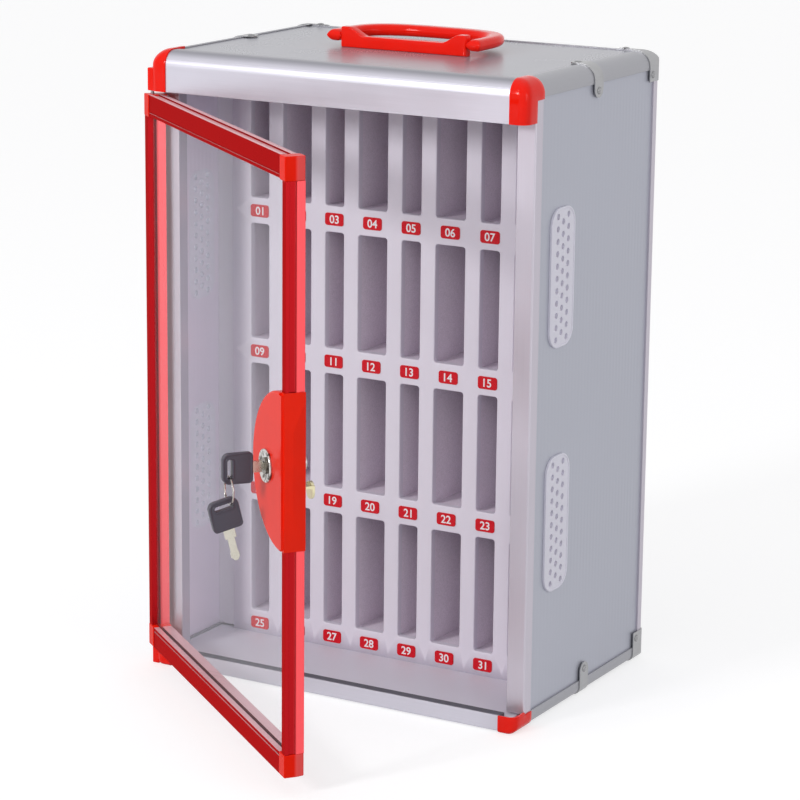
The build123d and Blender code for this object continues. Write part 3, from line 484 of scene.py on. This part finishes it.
# ------------------------------------------------------------------ plastic corners
# Glossy red mouldings: four case corners, the two on the left with a hinge ear,
# and the four corners of the door. Their edges are softened by the mould.
def softened(name, node, finish, body, voxel, rounds):
    """A moulded piece: the node's solids merged, remade in small voxels, and their creases
    relaxed by a number of rounds."""
    shape = bmesh.new()
    shape.from_mesh(frame["nodes"][node].data)
    bmesh.ops.remove_doubles(shape, verts=shape.verts, dist=1e-6)
    mesh = bpy.data.meshes.new(name)
    shape.to_mesh(mesh)
    shape.free()
    made = bpy.data.objects.new(name, mesh)
    scene.collection.objects.link(made)
    remesh = made.modifiers.new("voxels", "REMESH")
    remesh.mode = "VOXEL"
    remesh.voxel_size = voxel
    relax = made.modifiers.new("relax", "SMOOTH")
    relax.factor = 0.5
    relax.iterations = rounds
    done = bpy.data.meshes.new_from_object(made.evaluated_get(bpy.context.evaluated_depsgraph_get()))
    made.modifiers.clear()
    made.data = done
    done.shade_smooth()
    done.materials.clear()
    done.materials.append(finish.material)
    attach(made, body)
    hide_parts(node)


red_finish = Finish("red_moulding", "cap_red", srgb(250, 27, 9), 0.1, Specular_IOR_Level=0.14)
flow_marks = red_finish.noise(60, 4)
red_finish.mottle(flow_marks, 0.03, 0.05)
red_finish.relief(red_finish.noise(700, 2), 0.006 * mm)

cap_wide = 13.5 * mm            # on the front face
cap_wall = 1.6 * mm
cap_edge = 0.35 * mm
cap_lap = 1.3 * mm              # over the side edge's foot, at the top
corner_round = 6.8 * mm         # the vertical front edge, under the dome
dome_extra = 1.5 * mm           # the dome's plan radius past its rounding, at the very top
least_round = 0.4 * mm
top_round = 11.8 * mm           # rounded edges under the top and bottom caps
bottom_round = 2.8 * mm
bottom_side_round = 5.8 * mm
# stations along a cap's plan: the front, the corner, the side to the step, and behind it
on_front = slice(0, 5)
on_corner = slice(5, 14)
on_side = slice(13, 18)
on_rear = slice(18, 22)
flat_steps = (0.4, 0.8, 1.0)    # over the flat past the rounding, as shares of its width


def cap_shell(out, up, front_round, side_round):
    """Outer surface of a corner cap. Along the plan it runs over the front face, round the corner
    and back along the side; across it runs up the wall and over the rounded edge by a quarter
    circle, whose radius passes from the front's to the side's, while the plan's radius grows to
    that of a dome, and ends on the flat."""
    low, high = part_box("corner_cap_top" if up > 0 else "corner_cap_bottom")
    edge_low, edge_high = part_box("edge_top_right" if up > 0 else "edge_bottom_right")
    right, front, back = high[0], low[1], high[1]
    step_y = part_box("upright_front_right")[0][1]
    end = high[2] if up > 0 else low[2]
    foot = np.full(on_rear.stop, low[2] if up > 0 else high[2])
    foot[on_rear] = edge_low[2] - cap_lap if up > 0 else edge_high[2]
    spread = np.ones(on_rear.stop)
    spread[on_front] = 0
    spread[on_corner] = np.linspace(0, 1, 11)[1:-1]
    rounding = front_round + (side_round - front_round) * spread ** 2 * (3 - 2 * spread)
    swing = spread * np.pi / 2
    turns = np.concatenate([[0, 0], np.linspace(0, np.pi / 2, 11)[1:], [np.pi / 2] * len(flat_steps)])
    flats = np.concatenate([np.zeros(len(turns) - len(flat_steps)), flat_steps])
    rows = []
    for turn, past in zip(turns, flats):
        draw = rounding * (1 - np.cos(turn)) + past * (cap_wide - rounding)
        grown = np.maximum(rounding + dome_extra, corner_round)
        plan_round = corner_round + (grown - corner_round) * np.sin(turn) ** 2
        plan_round = np.maximum(plan_round - draw, least_round)
        x = right - draw - plan_round + plan_round * np.sin(swing)
        y = front + draw + plan_round - plan_round * np.cos(swing)
        x[on_front] = np.linspace(right - cap_wide, max(x[on_front.stop - 1], right - cap_wide), 5)
        y[on_side] = np.linspace(y[on_side.start], step_y, 5)
        y[on_rear] = np.linspace(step_y, back, 4)
        x = np.maximum(x, right - cap_wide)
        z = end - up * rounding * (1 - np.sin(turn)) if rows else foot
        rows.append(np.stack([out * x, y, z], -1))
    return np.stack(rows)


for side, out, kind in (("right", 1, "corner_cap"), ("left", -1, "hinge_cap")):
    for end, up, front_round, side_round in (("top", 1, top_round, top_round),
                                             ("bottom", -1, bottom_round, bottom_side_round)):
        points = cap_shell(out, up, front_round, side_round)
        cap = piece(f"dome_cap_{end}_{side}", points, quads(*points.shape[:2]), red_finish, "case",
                    (f"{kind}_{end}",), 60)
        outward = sum((face.normal.x * out + face.normal.z * up - face.normal.y) * face.area
                      for face in cap.data.polygons)
        walled(cap, "wall", cap_wall, outward)
        edge = cap.modifiers.new("edge", "BEVEL")
        edge.width = cap_edge
        edge.segments = 2
        edge.angle_limit = math.radians(50)


def swept(rings):
    """Faces of rings of points that follow each other along a path, both ends closed."""
    count, around = np.shape(rings)[:2]
    ends = [list(range(around)), list(range((count - 1) * around, count * around))]
    return quads(count, around, False, True).tolist() + ends


joints = {joint["name"]: joint for joint in frame["joints"]}
ear_fore = 3.4 * mm             # before and behind the hinge pin
ear_behind = 5.4 * mm
ear_wide = 6 * mm
ear_tall = 16.4 * mm
ear_corner = 1.0 * mm
ear_edge = 0.5 * mm
ear_turn = np.linspace(0, np.pi / 2, 5)
ear_plan = rounded(ear_wide, ear_fore + ear_behind, ear_corner)
ear_half = np.array([ear_wide, ear_fore + ear_behind]) / 2
pin_y = joints["door_swing"]["pos_m"][1]
for end in ("top", "bottom"):
    # the ear's plan carried upright, drawn in by a quarter circle at each end
    low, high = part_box(f"hinge_cap_{end}")
    ear_end = low[2] + ear_tall if end == "top" else high[2]
    middle = np.array([low[0] + ear_wide / 2, pin_y + (ear_behind - ear_fore) / 2])
    levels = np.concatenate([low[2] + ear_edge * (1 - np.sin(ear_turn[::-1])),
                             ear_end - ear_edge * (1 - np.sin(ear_turn))])
    draws = ear_edge * (1 - np.cos(ear_turn))
    rings = []
    for level, draw in zip(levels, np.concatenate([draws[::-1], draws])):
        plan = middle + ear_plan * (1 - draw / ear_half)
        rings.append(np.column_stack([plan, np.full(len(plan), level)]))
    piece(f"hinge_ear_{end}", rings, swept(rings), red_finish, "case")

# painted sheen: the open door's frame is made paler on the rear half of its outer sides, where
# the sheen of the anodising and of the moulding turns to the light
door_turn = math.radians(-joints["door_swing"]["range_deg"][0])
door_out = (-math.sin(door_turn), -math.cos(door_turn), 0)
door_across = (math.cos(door_turn), -math.sin(door_turn), 0)
stile_mesh = frame["nodes"]["door_stile_lock"].data
stile_depths = np.array([vertex.co for vertex in stile_mesh.vertices]) @ door_out
stile_middle = float(stile_depths.min() + stile_depths.max()) / 2
sheen_full = 1.5 * mm           # behind the middle of the frame's depth
sheen_gone = 0.5 * mm           # before it


def rear_side(finish):
    """1 on what faces along the door's width behind the middle of its frame, 0 elsewhere."""
    behind = finish.ramp(finish.ahead(door_out), stile_middle - sheen_full, stile_middle + sheen_gone, 1, 0)
    return behind * finish.faces_to(door_across)


corner_finish = Finish("red_door_corner", "cap_red", srgb(244, 34, 14), 0.2, Specular_IOR_Level=0.03)
corner_finish.mottle(corner_finish.noise(60, 4), 0.03)
# painted sheen: a paler pink on the corners' rear outer sides
corner_finish.over(rear_side(corner_finish), srgb(250, 90, 88))
corner_finish.relief(corner_finish.noise(700, 2), 0.006 * mm)
softened("moulded_door_corners", "door_corners", corner_finish, "door", 0.5 * mm, 3)


# ------------------------------------------------------------------ steel corners and clips
# Nickel-plated steel pressed over the back corners and over the middle of each
# side edge, held by domed rivets with a groove round the head.
def turned(outline, steps=32):
    """A profile of (radius, along) points turned once about the along axis."""
    outline = np.asarray(outline)
    angle = np.linspace(0, 2 * np.pi, steps, endpoint=False)
    radius = outline[None, :, 0]
    points = [radius * np.cos(angle)[:, None], radius * np.sin(angle)[:, None],
              np.broadcast_to(outline[None, :, 1], (steps, len(outline)))]
    return np.stack(points, -1)


def steel(name, colour, roughness):
    """Plated steel: fine brushed lines, faint stains, soft edges."""
    finish = Finish(name, "steel", colour, roughness, 1.0)
    lines = finish.noise(1500, 2, 0.6, (1, 0.05, 1))
    stains = finish.noise(120, 4)
    finish.mottle(lines * 0.5 + stains * 0.5, 0.1, 0.08)
    finish.relief(lines, 0.008 * mm, 0.3 * mm)
    return finish


steel_finish = steel("nickel_plate", srgb(168, 168, 170), 0.36)
dress(steel_finish, "steel_corners", "edge_straps", "handle_pivots", "handle_screws", "hinge_pins",
      "strike_plate", "lock_nut", "cam_screw", "lock_backplate")

head_r = 2.7 * mm
head_h = 0.9 * mm
shank = 3.6 * mm
shank_r = 1.5 * mm
rim_side = 0.22 * mm            # a low rim round the head: the height of its side,
rim_top = 0.3 * mm              # its top, and how far in from the side that is
rim_in = 0.25 * mm
groove_floor = 0.08 * mm        # the groove between the rim and the dome
groove_in = 0.35 * mm
dome_foot = 0.25 * mm
dome_in = 0.5 * mm
rivet_sides = 20
rivet_solids = bmesh.new()
rivet_solids.from_mesh(frame["nodes"]["rivets"].data)
bmesh.ops.remove_doubles(rivet_solids, verts=rivet_solids.verts, dist=1e-6)
places = []
left_over = set(rivet_solids.verts)
while left_over:
    # one rivet at a time: everything that is joined to one of its corners
    island = {left_over.pop()}
    edge_of = list(island)
    while edge_of:
        vertex = edge_of.pop()
        for edge in vertex.link_edges:
            other = edge.other_vert(vertex)
            if other in left_over:
                left_over.discard(other)
                island.add(other)
                edge_of.append(other)
    places.append(np.array([vertex.co for vertex in island]))
rivet_solids.free()
places.sort(key=lambda solid: tuple(solid.mean(axis=0).round(5).tolist()))

rise = np.linspace(0, np.pi / 2, 7)
dome = np.stack([(head_r - dome_in) * np.cos(rise), dome_foot + (head_h - dome_foot) * np.sin(rise)], -1)
# from the shank's end, out under the head, up the rim, into the groove and over the dome
rivet_outline = np.concatenate([[(0, -shank), (shank_r, -shank), (shank_r, 0), (head_r, 0),
                                 (head_r, rim_side), (head_r - rim_in, rim_top),
                                 (head_r - groove_in, groove_floor)], dome])
half_high = cad_box[1][2] / 2   # rivets above it point up, the others down
rivet_points = []
rivet_faces = []
for solid in places:
    low, high = solid.min(axis=0), solid.max(axis=0)
    axis = int(np.argmin(abs((high - low) - (shank + head_h))))
    middle = (low + high) / 2
    up = 1 if middle[axis] > (half_high if axis == 2 else 0) else -1
    foot = high[axis] - head_h if up > 0 else low[axis] + head_h
    others = [a for a in range(3) if a != axis]
    one = turned(rivet_outline, rivet_sides).reshape(-1, 3)
    points = np.empty_like(one)
    points[:, others[0]] = middle[others[0]] + one[:, 0]
    points[:, others[1]] = middle[others[1]] + one[:, 1]
    points[:, axis] = foot + up * one[:, 2]
    rivet_faces.append(quads(rivet_sides, len(rivet_outline), True) + sum(len(p) for p in rivet_points))
    rivet_points.append(points)
rivet_finish = steel("rivet_steel", srgb(150, 150, 152), 0.25)
piece("domed_rivets", np.concatenate(rivet_points), np.concatenate(rivet_faces), rivet_finish, "case",
      ("rivets",), 30)

# ------------------------------------------------------------------ slot board
# One moulded white board with 32 upright slots, narrow and wide by turns, their
# rims rolled over; behind it soft-lined compartments between thin dividers.
openings = {opening["name"]: np.array(opening["box_m"])
            for opening in frame["record"]["physics"]["openings"]}
opening_gap = 0.3 * mm          # an opening's box is this much inside its slot
rim_roll = 0.9 * mm
slot_corner = 2.0 * mm
board_rows = 4
board_columns = 8
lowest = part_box("slot_panel_1")
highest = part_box("slot_panel_4")
board_front = lowest[0][1]
board_back = lowest[1][1]
first = openings["slot_1_1"]
column_pitch = (openings["slot_1_2"].mean(axis=0) - first.mean(axis=0))[0]
row_pitch = (openings["slot_2_1"][0] - first[0])[2]
slot_height = (first[1] - first[0])[2] + 2 * opening_gap
slot_widths = [(openings[name][1] - openings[name][0])[0] + 2 * opening_gap
               for name in ("slot_1_1", "slot_1_2")]
first_x = first.mean(axis=0)[0]
first_z = first[0][2] - opening_gap

board_finish = Finish("board_white", "board_white", srgb(230, 224, 236), 0.42)
board_peel = board_finish.noise(1300, 3)
board_finish.mottle(board_peel * 0.4 + board_finish.noise(11, 3) * 0.6, 0.025)
board_finish.relief(board_peel, 0.02 * mm)

steps = 6
wall_half = (row_pitch - slot_height) / 2
turn = np.linspace(0, 1, steps + 1)
side_share = np.clip(2 * turn, 0, 1)
top_share = np.clip(2 * turn - 1, 0, 1)
roll = np.linspace(0, np.pi / 2, 6)
board_points = []
board_faces = []
for row in range(board_rows):
    row_z = first_z + row * row_pitch
    cell_low = lowest[0][2] if row == 0 else row_z - wall_half
    cell_high = highest[1][2] if row == board_rows - 1 else row_z + slot_height + wall_half
    for column in range(board_columns):
        width = slot_widths[column % 2]
        x = first_x + column * column_pitch
        z = row_z + slot_height / 2
        cell_left = lowest[0][0] if column == 0 else x - column_pitch / 2
        cell_right = lowest[1][0] if column == board_columns - 1 else x + column_pitch / 2
        # outer ring of the cell: each corner arc's points spread over that corner's two sides
        slot = rounded(width, slot_height, slot_corner, steps)
        edge = []
        for quarter, (cx, cz) in enumerate(((cell_right, cell_high), (cell_left, cell_high),
                                            (cell_left, cell_low), (cell_right, cell_low))):
            arc = slot[quarter * (steps + 1):(quarter + 1) * (steps + 1)] + (x, z)
            if quarter % 2 == 0:
                px = cx + (arc[-1, 0] - cx) * top_share
                pz = arc[0, 1] + (cz - arc[0, 1]) * side_share
            else:
                px = arc[0, 0] + (cx - arc[0, 0]) * side_share
                pz = cz + (arc[-1, 1] - cz) * top_share
            edge.append(np.stack([px, pz], -1))
        rings = [(np.concatenate(edge), board_front)]
        for angle in roll:
            out = rim_roll * (1 - math.sin(angle))
            ring = rounded(width + 2 * out, slot_height + 2 * out, slot_corner + out, steps) + (x, z)
            rings.append((ring, board_front + rim_roll * (1 - math.cos(angle))))
        rings.append((slot + (x, z), board_back))
        rings.append((np.concatenate(edge), board_back))
        board_faces.append(quads(len(rings), len(slot), False, True) + sum(len(p) for p in board_points))
        board_points.append(np.concatenate(
            [np.stack([ring[:, 0], np.full(len(ring), depth), ring[:, 1]], -1) for ring, depth in rings]))
board = piece("slot_board", np.concatenate(board_points), np.concatenate(board_faces), board_finish, "case",
              ("slot_panel_1", "slot_panel_2", "slot_panel_3", "slot_panel_4"), 50)
rim = bmesh.new()
rim.from_mesh(board.data)
bmesh.ops.bridge_loops(rim, edges=[edge for edge in rim.edges if edge.is_boundary])
bmesh.ops.recalc_face_normals(rim, faces=rim.faces)
rim.to_mesh(board.data)
rim.free()

lining_finish = Finish("soft_lining", "board_white", srgb(236, 226, 238), 0.9)
pores = lining_finish.cells(1400)
fuzz = lining_finish.noise(500, 4, 0.7)
lining_finish.mottle(fuzz * 0.6 + pores * 0.5, 0.1)
lining_finish.relief(pores * 0.5 + fuzz * 0.5, 0.12 * mm)
dress(lining_finish, "dividers", "shelves")
inner_finish = Finish("inner_white", "board_white", srgb(222, 219, 229), 0.5)
inner_peel = inner_finish.noise(1100, 3)
inner_finish.mottle(inner_peel * 0.4 + inner_finish.noise(12, 3) * 0.6, 0.025)
inner_finish.relief(inner_peel, 0.012 * mm)
dress(inner_finish, "floor_lining", "side_fillers")

# ------------------------------------------------------------------ number labels
# A rounded red label under each slot with its plain number printed in white,
# from 01 at the top left to 32 at the bottom right.
label_drop = 9.8 * mm
digit_size = 8.4 * mm
digit_bold = 0.016              # of the size, all round
digit_rise = 0.05 * mm
label_finish = Finish("label_print", "label_red", srgb(214, 16, 34), 0.3, Specular_IOR_Level=0.2)
label_grain = label_finish.noise(900, 3)
label_finish.mottle(label_grain, 0.05)
label_finish.relief(label_grain, 0.006 * mm, 0.25 * mm)
dress(label_finish, "number_labels")
print_finish = Finish("digit_print", "board_white", srgb(246, 240, 243), 0.45)
print_finish.mottle(print_finish.noise(800, 3), 0.02)

label_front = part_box("number_labels")[0][1]
digit_points = []
digit_faces = []
for row in range(board_rows):
    for column in range(board_columns):
        text = bpy.data.curves.new("digits", "FONT")
        text.body = f"{(board_rows - 1 - row) * board_columns + column + 1:02d}"
        text.align_x = "CENTER"
        text.align_y = "CENTER"
        text.size = 1
        text.offset = digit_bold
        text.extrude = digit_rise / digit_size
        holder = bpy.data.objects.new("digits", text)
        scene.collection.objects.link(holder)
        letters = bpy.data.meshes.new_from_object(
            holder.evaluated_get(bpy.context.evaluated_depsgraph_get()))
        flat = np.empty(len(letters.vertices) * 3)
        letters.vertices.foreach_get("co", flat)
        flat = flat.reshape(-1, 3) * digit_size
        flat -= (flat.min(axis=0) + flat.max(axis=0)) / 2
        offset = sum(len(p) for p in digit_points)
        digit_faces += [[offset + v for v in face.vertices] for face in letters.polygons]
        digit_points.append(np.stack([
            first_x + column * column_pitch + flat[:, 0],
            label_front - flat[:, 2],
            first_z + row * row_pitch - label_drop + flat[:, 1]], -1))
        bpy.data.objects.remove(holder)
        bpy.data.curves.remove(text)
        bpy.data.meshes.remove(letters)
piece("label_digits", np.concatenate(digit_points), digit_faces, print_finish, "case", (), 30)

# ------------------------------------------------------------------ handle
# Red moulded base screwed to the top panel, its ends raised to hold two pins, and
# a D-shaped grip that lies folded back on them.
base_low, base_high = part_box("handle_base")
bail_low, bail_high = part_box("handle_bail")
bar_h = 8.5 * mm
lug_flat = 7.5 * mm
lug_slope = 11 * mm
slope_blend = 1.2 * mm          # half the length over which the slope's ends are smoothed
base_round = 1.1 * mm
base_half = base_high[0]
lug_h = base_high[2] - base_low[2]
base_mid_y = (base_low[1] + base_high[1]) / 2
base_depth = base_high[1] - base_low[1]

end_turn = np.linspace(0, np.pi / 2, 7)
end_x = base_half - base_round * (1 - np.sin(end_turn))
half_x = np.concatenate([np.linspace(0, base_half - base_round, 90, endpoint=False), end_x])
x = np.concatenate([-half_x[::-1], half_x[1:]])
slope_from = base_half - lug_flat - lug_slope
fine = np.linspace(-slope_blend, slope_blend, 13)
height = np.interp(abs(x)[:, None] + fine[None, :], (slope_from, slope_from + lug_slope), (bar_h, lug_h))
height = height.mean(axis=1)
past = np.maximum(abs(x) - base_half + base_round, 0)
inset = base_round - np.sqrt(np.maximum(base_round ** 2 - past ** 2, 0))
# a rounded rectangle carried along X, its height the bar's or the lug's, drawn in at the ends
points = []
for at, tall, draw in zip(x, height, inset):
    outline = rounded(base_depth - 2 * draw, tall - draw, base_round, 5)
    points.append(np.stack([np.full(len(outline), at), base_mid_y + outline[:, 0],
                            base_low[2] + (tall - draw) / 2 + outline[:, 1]], -1))
piece("moulded_handle_base", points, swept(points), red_finish, "case", ("handle_base",), 35)

arm_w = 11.2 * mm
grip_w = 13.5 * mm
arm_straight = 9.5 * mm
bail_round = 4.1 * mm
nearly_half = 0.49              # most of a height that its rounding takes
bail_tall = bail_high[2] - bail_low[2]
bail_z = (bail_low[2] + bail_high[2]) / 2
bail_half = bail_high[0]
pivot_y = bail_low[1] + bail_tall / 2
turn_y = pivot_y + arm_straight
reach = bail_high[1] - turn_y
eye_start = 0.06                # radians, so that the rounded end's tip is not one line
eye = np.linspace(eye_start, np.pi / 2, 9)
arc = np.linspace(0, np.pi, 97)
squareness = 3.2                # 2 is an ellipse, more is nearer to a rectangle
oval_x = np.sign(np.cos(arc)) * abs(np.cos(arc)) ** (2 / squareness)
oval_y = abs(np.sin(arc)) ** (2 / squareness)
arm_y = np.concatenate([pivot_y - bail_tall / 2 * np.cos(eye), np.linspace(pivot_y, turn_y, 5)[:-1]])


def bail_line(half, far):
    """One edge of the bail in plan: along one arm, round a half oval that reaches a distance
    past the arms' ends, and back along the other arm."""
    arm = np.stack([np.full(len(arm_y), half), arm_y], -1)
    oval = np.stack([half * oval_x, turn_y + far * oval_y], -1)
    return np.concatenate([arm, oval, arm[::-1] * (-1, 1)])


arm_tall = np.concatenate([bail_tall * np.sin(eye), np.full(len(arm_y) - len(eye), bail_tall)])
tall = np.concatenate([arm_tall, np.full(len(arc), bail_tall), arm_tall[::-1]])
outer = bail_line(bail_half, reach)
inner = bail_line(bail_half - arm_w, reach - grip_w)
points = []
for out_at, in_at, high in zip(outer, inner, tall):
    width = np.linalg.norm(out_at - in_at)
    outline = rounded(width, high, min(bail_round, nearly_half * high), 6)
    plan = (out_at + in_at) / 2 + outline[:, :1] * (out_at - in_at) / width
    points.append(np.concatenate([plan, bail_z + outline[:, 1:]], -1))
piece("moulded_bail", points, swept(points), red_finish, "bail", ("handle_bail",), 50)

# ------------------------------------------------------------------ door frame
# Red anodised extrusions mitred into plastic corners, with a groove along the
# outside, and a dark soft strip below on which the door closes.
door_colour = srgb(180, 26, 32)
painted_sheen_pink = srgb(246, 206, 212)
painted_sheen_red = srgb(250, 92, 98)
red_metal = 0.85
metal_lost = 0.8                # where the top is painted pale, as a sheen
anodised = {"Specular_Tint": (*srgb(226, 46, 52), 1), "Specular_IOR_Level": 0.05}
rail_red = drawn("anodised_red_rails", "door_red", door_colour, "x", 0.3, red_metal)
# painted sheen: the rails' upward faces get a pale pink, less metallic, in slow clouds, for the white surround
# that they reflect
clouds = rail_red.ramp(rail_red.noise(9, 3), 0.3, 0.7, 0.8, 1)
painted_top_sheen_mask = rail_red.faces_to((0, 0, 1)) * clouds
rail_red.over(painted_top_sheen_mask, painted_sheen_pink)
rail_red.set(Metallic=red_metal - painted_top_sheen_mask * metal_lost, **anodised)
dress(rail_red, "door_rail_top", "door_rail_bottom")
stile_red = drawn("anodised_red_stiles", "door_red", door_colour, "z", 0.3, red_metal)
# painted sheen: a paler red on the stiles' rear outer sides
stile_red.over(rear_side(stile_red), painted_sheen_red)
stile_red.set(**anodised)
dress(stile_red, "door_stile_hinge", "door_stile_lock")
seal_finish = Finish("seal_rubber", "seal_dark", srgb(92, 92, 100), 0.6)
seal_finish.mottle(seal_finish.noise(400, 4), 0.1)
seal_finish.relief(seal_finish.noise(900, 3), 0.03 * mm)
dress(seal_finish, "door_seal")

# ------------------------------------------------------------------ pane
# A clear acrylic pane, 2.5 mm thick: almost nothing straight on, a pale sheen at a
# slant, and a breath of dust.
pane_finish = Finish("clear_pane", "pane_clear", srgb(232, 234, 240), 0.06)
slant = pane_finish.node("ShaderNodeLayerWeight", None, {"Blend": 0.5}, out="Facing")
dust = pane_finish.noise(18, 5, 0.6)
# painted sheen: a whitish film whose opacity grows as the pane is seen more at a slant
sheen = pane_finish.ramp(slant, 0.2, 1.0, 0.015, 0.1)
pane_finish.set(Alpha=sheen + pane_finish.ramp(dust, 0.4, 0.75, 0.0, 0.02))
dress(pane_finish, "door_pane")

# ------------------------------------------------------------------ lock
# A half-moon red housing, and a chromed cam lock through it: a dished head, the
# turning plug with its keyway, and a plated cam behind.
def moved(points, way):
    """Points carried by a matrix."""
    turn = np.array(way.to_3x3())
    return np.asarray(points).reshape(-1, 3) @ turn.T + np.array(way.translation)


housing_finish = Finish("red_housing", "cap_red", srgb(246, 40, 18), 0.14, Specular_IOR_Level=0.06)
housing_finish.mottle(housing_finish.noise(50, 4), 0.03, 0.04)
housing_finish.relief(housing_finish.noise(500, 2), 0.005 * mm, 0.4 * mm)
dress(housing_finish, "lock_housing")

chrome_finish = Finish("chrome", "chrome", srgb(205, 203, 200), 0.09, 1.0)
chrome_finish.mottle(chrome_finish.noise(300, 4), 0.05, 0.04)
chrome_finish.relief(chrome_finish.noise(900, 2), 0.002 * mm, 0.2 * mm)
# painted reflection: dark brown patches over the chrome where a stretched noise passes a narrow threshold,
# standing for the dark zones that the dished head reflects
painted_dark_reflection = chrome_finish.noise(190, 3, 0.6, (1, 1, 0.5))
chrome_finish.over(chrome_finish.ramp(painted_dark_reflection, 0.48, 0.56, 0, 0.85), srgb(70, 58, 50))
plug_finish = steel("keyway_shade", srgb(120, 114, 106), 0.2)
dress(plug_finish, "lock_plug")
cam_finish = steel("zinc_cam", srgb(214, 206, 170), 0.35)
dress(cam_finish, "lock_cam")

head_out = 2.0 * mm
head_round = 1.0 * mm
dish = 1.3 * mm
head_radius = 11.3 * mm
bore = 5.55 * mm
barrel_radius = 8.5 * mm
barrel_length = 22.6 * mm
head_sides = 48
round_turn = np.linspace(0, np.pi / 2, 7)
hollow = np.linspace(0, 1, 9)
# over the dished face, round its edge, in under the head and along the barrel to its far end
head = np.concatenate([
    np.stack([bore + (head_radius - head_round - bore) * hollow, dish * (1 - hollow ** 2)], -1),
    np.stack([head_radius - head_round * (1 - np.sin(round_turn)),
              head_round * (1 - np.cos(round_turn))], -1),
    [(head_radius, head_out), (barrel_radius, head_out),
     (barrel_radius, barrel_length), (bore, barrel_length)]])
ring_points = turned(head, head_sides)
lock_turned = np.stack([ring_points[..., 0], ring_points[..., 2], ring_points[..., 1]], -1)


def joint_place(name):
    """Where a joint is, turned as the open door is."""
    return Matrix.Translation(joints[name]["pos_m"]) @ Matrix.Rotation(-door_turn, 4, "Z")


lock_way = joint_place("lock_turn")
piece("chromed_barrel", moved(lock_turned, lock_way), quads(head_sides, len(head), True, True),
      chrome_finish, "door", ("lock_barrel",), 30)

# ------------------------------------------------------------------ keys
# Two keys on a split ring: charcoal moulded bows with a raised rim and a slot, and
# nickel-plated blades. One is in the lock, the spare hangs from the ring.
bow_finish = Finish("charcoal_moulding", "bow_charcoal", srgb(66, 62, 76), 0.42)
bow_grain = bow_finish.noise(2200, 3)
bow_finish.mottle(bow_grain, 0.12, 0.08)
bow_finish.relief(bow_grain, 0.03 * mm, 0.3 * mm)
blade_finish = steel("key_steel", srgb(196, 192, 180), 0.28)
dress(blade_finish, "key_blade", "spare_blade")

bow_long = 20.8 * mm
bow_wide = 20.6 * mm
bow_half = 2.3 * mm
bow_corners = np.array([2.5, 4.8, 4.8, 2.5]) * mm   # small at the blade's end
slot_long = 12.8 * mm
slot_wide = 3.4 * mm
slot_from_end = 4.9 * mm        # the bow's far end to the slot's middle
rim_wide = 1.2 * mm
rim_sink = 0.35 * mm            # field of the bow below its rims
bow_edge = 0.4 * mm
rim_most = 0.3                  # shares of the way from the slot to the bow's outline
edge_most = 0.08
slot_end = 0.499                # of the slot's width, just under a half circle


def bow_points():
    """A key bow: straight lines from the slot's outline to the bow's, each carried round the
    bow's section, which has a raised rim at both ends and a sunken field between them."""
    outer = rounded(bow_long, bow_wide, bow_corners, 8) + (-bow_long / 2, 0)
    inner = rounded(slot_wide, slot_long, slot_end * slot_wide, 8) + (slot_from_end - bow_long, 0)
    length = np.linalg.norm(outer - inner, axis=1)
    rim = np.minimum(rim_wide / length, rim_most)
    edge = np.minimum(bow_edge / length, edge_most)
    zero = np.zeros_like(length)
    top, low, side = bow_half, bow_half - rim_sink, bow_half - bow_edge
    front = [(zero, side), (edge, top), (rim, top), (rim + edge, low),
             (1 - rim - edge, low), (1 - rim, top), (1 - edge, top), (zero + 1, side)]
    section = front + [(share, -height) for share, height in reversed(front)]
    rings = []
    for share, height in section:
        plan = inner + (outer - inner) * share[:, None]
        rings.append(np.stack([np.full(len(plan), height), plan[:, 0], plan[:, 1]], -1))
    return np.stack(rings)


blade_show = 7.9 * mm           # between the lock's face and the bow
hang_lean = 14                  # degrees, the spare key out of plumb
hang_play = 0.5 * mm
hang_aside = 4.5 * mm           # the ring passes the slot's end, not its middle
key_way = lock_way @ Matrix.Translation((0, -blade_show, 0))
spare_way = (joint_place("spare_swing") @ Matrix.Rotation(math.radians(hang_lean - 90), 4, "X")
             @ Matrix.Translation((0, bow_long - slot_from_end + hang_play, -hang_aside)))
bow = bow_points()
for name, node, body, way in (("moulded_key_bow", "key_bow", "key", key_way),
                              ("moulded_spare_bow", "spare_bow", "spare_key", spare_way)):
    piece(name, moved(bow, way), quads(*bow.shape[:2], True, True), bow_finish, body, (node,), 35)

# the ring: a wire's circle carried along two close turns of a helix
ring_round = 9.3 * mm
wire = 0.45 * mm                # radius
wire_steps = 10
ring_gap = 0.25                 # radians short of two whole turns
ring_way = joint_place("ring_swing") @ Matrix.Translation((0, 0, -ring_round))
along = np.linspace(0, 4 * np.pi - ring_gap, 121)
radial = np.stack([np.sin(along), np.zeros_like(along), np.cos(along)], -1)
middle = ring_round * radial + np.stack([0 * along, wire * (along / (2 * np.pi) - 1), 0 * along], -1)
section = np.linspace(0, 2 * np.pi, wire_steps, endpoint=False)
points = (middle[:, None] + wire * np.cos(section)[None, :, None] * radial[:, None]
          + wire * np.sin(section)[None, :, None] * np.array([0, 1, 0]))
ring_finish = steel("ring_steel", srgb(170, 166, 162), 0.18)
piece("split_ring", moved(points, ring_way), swept(points), ring_finish, "ring", ("key_ring",), 60)
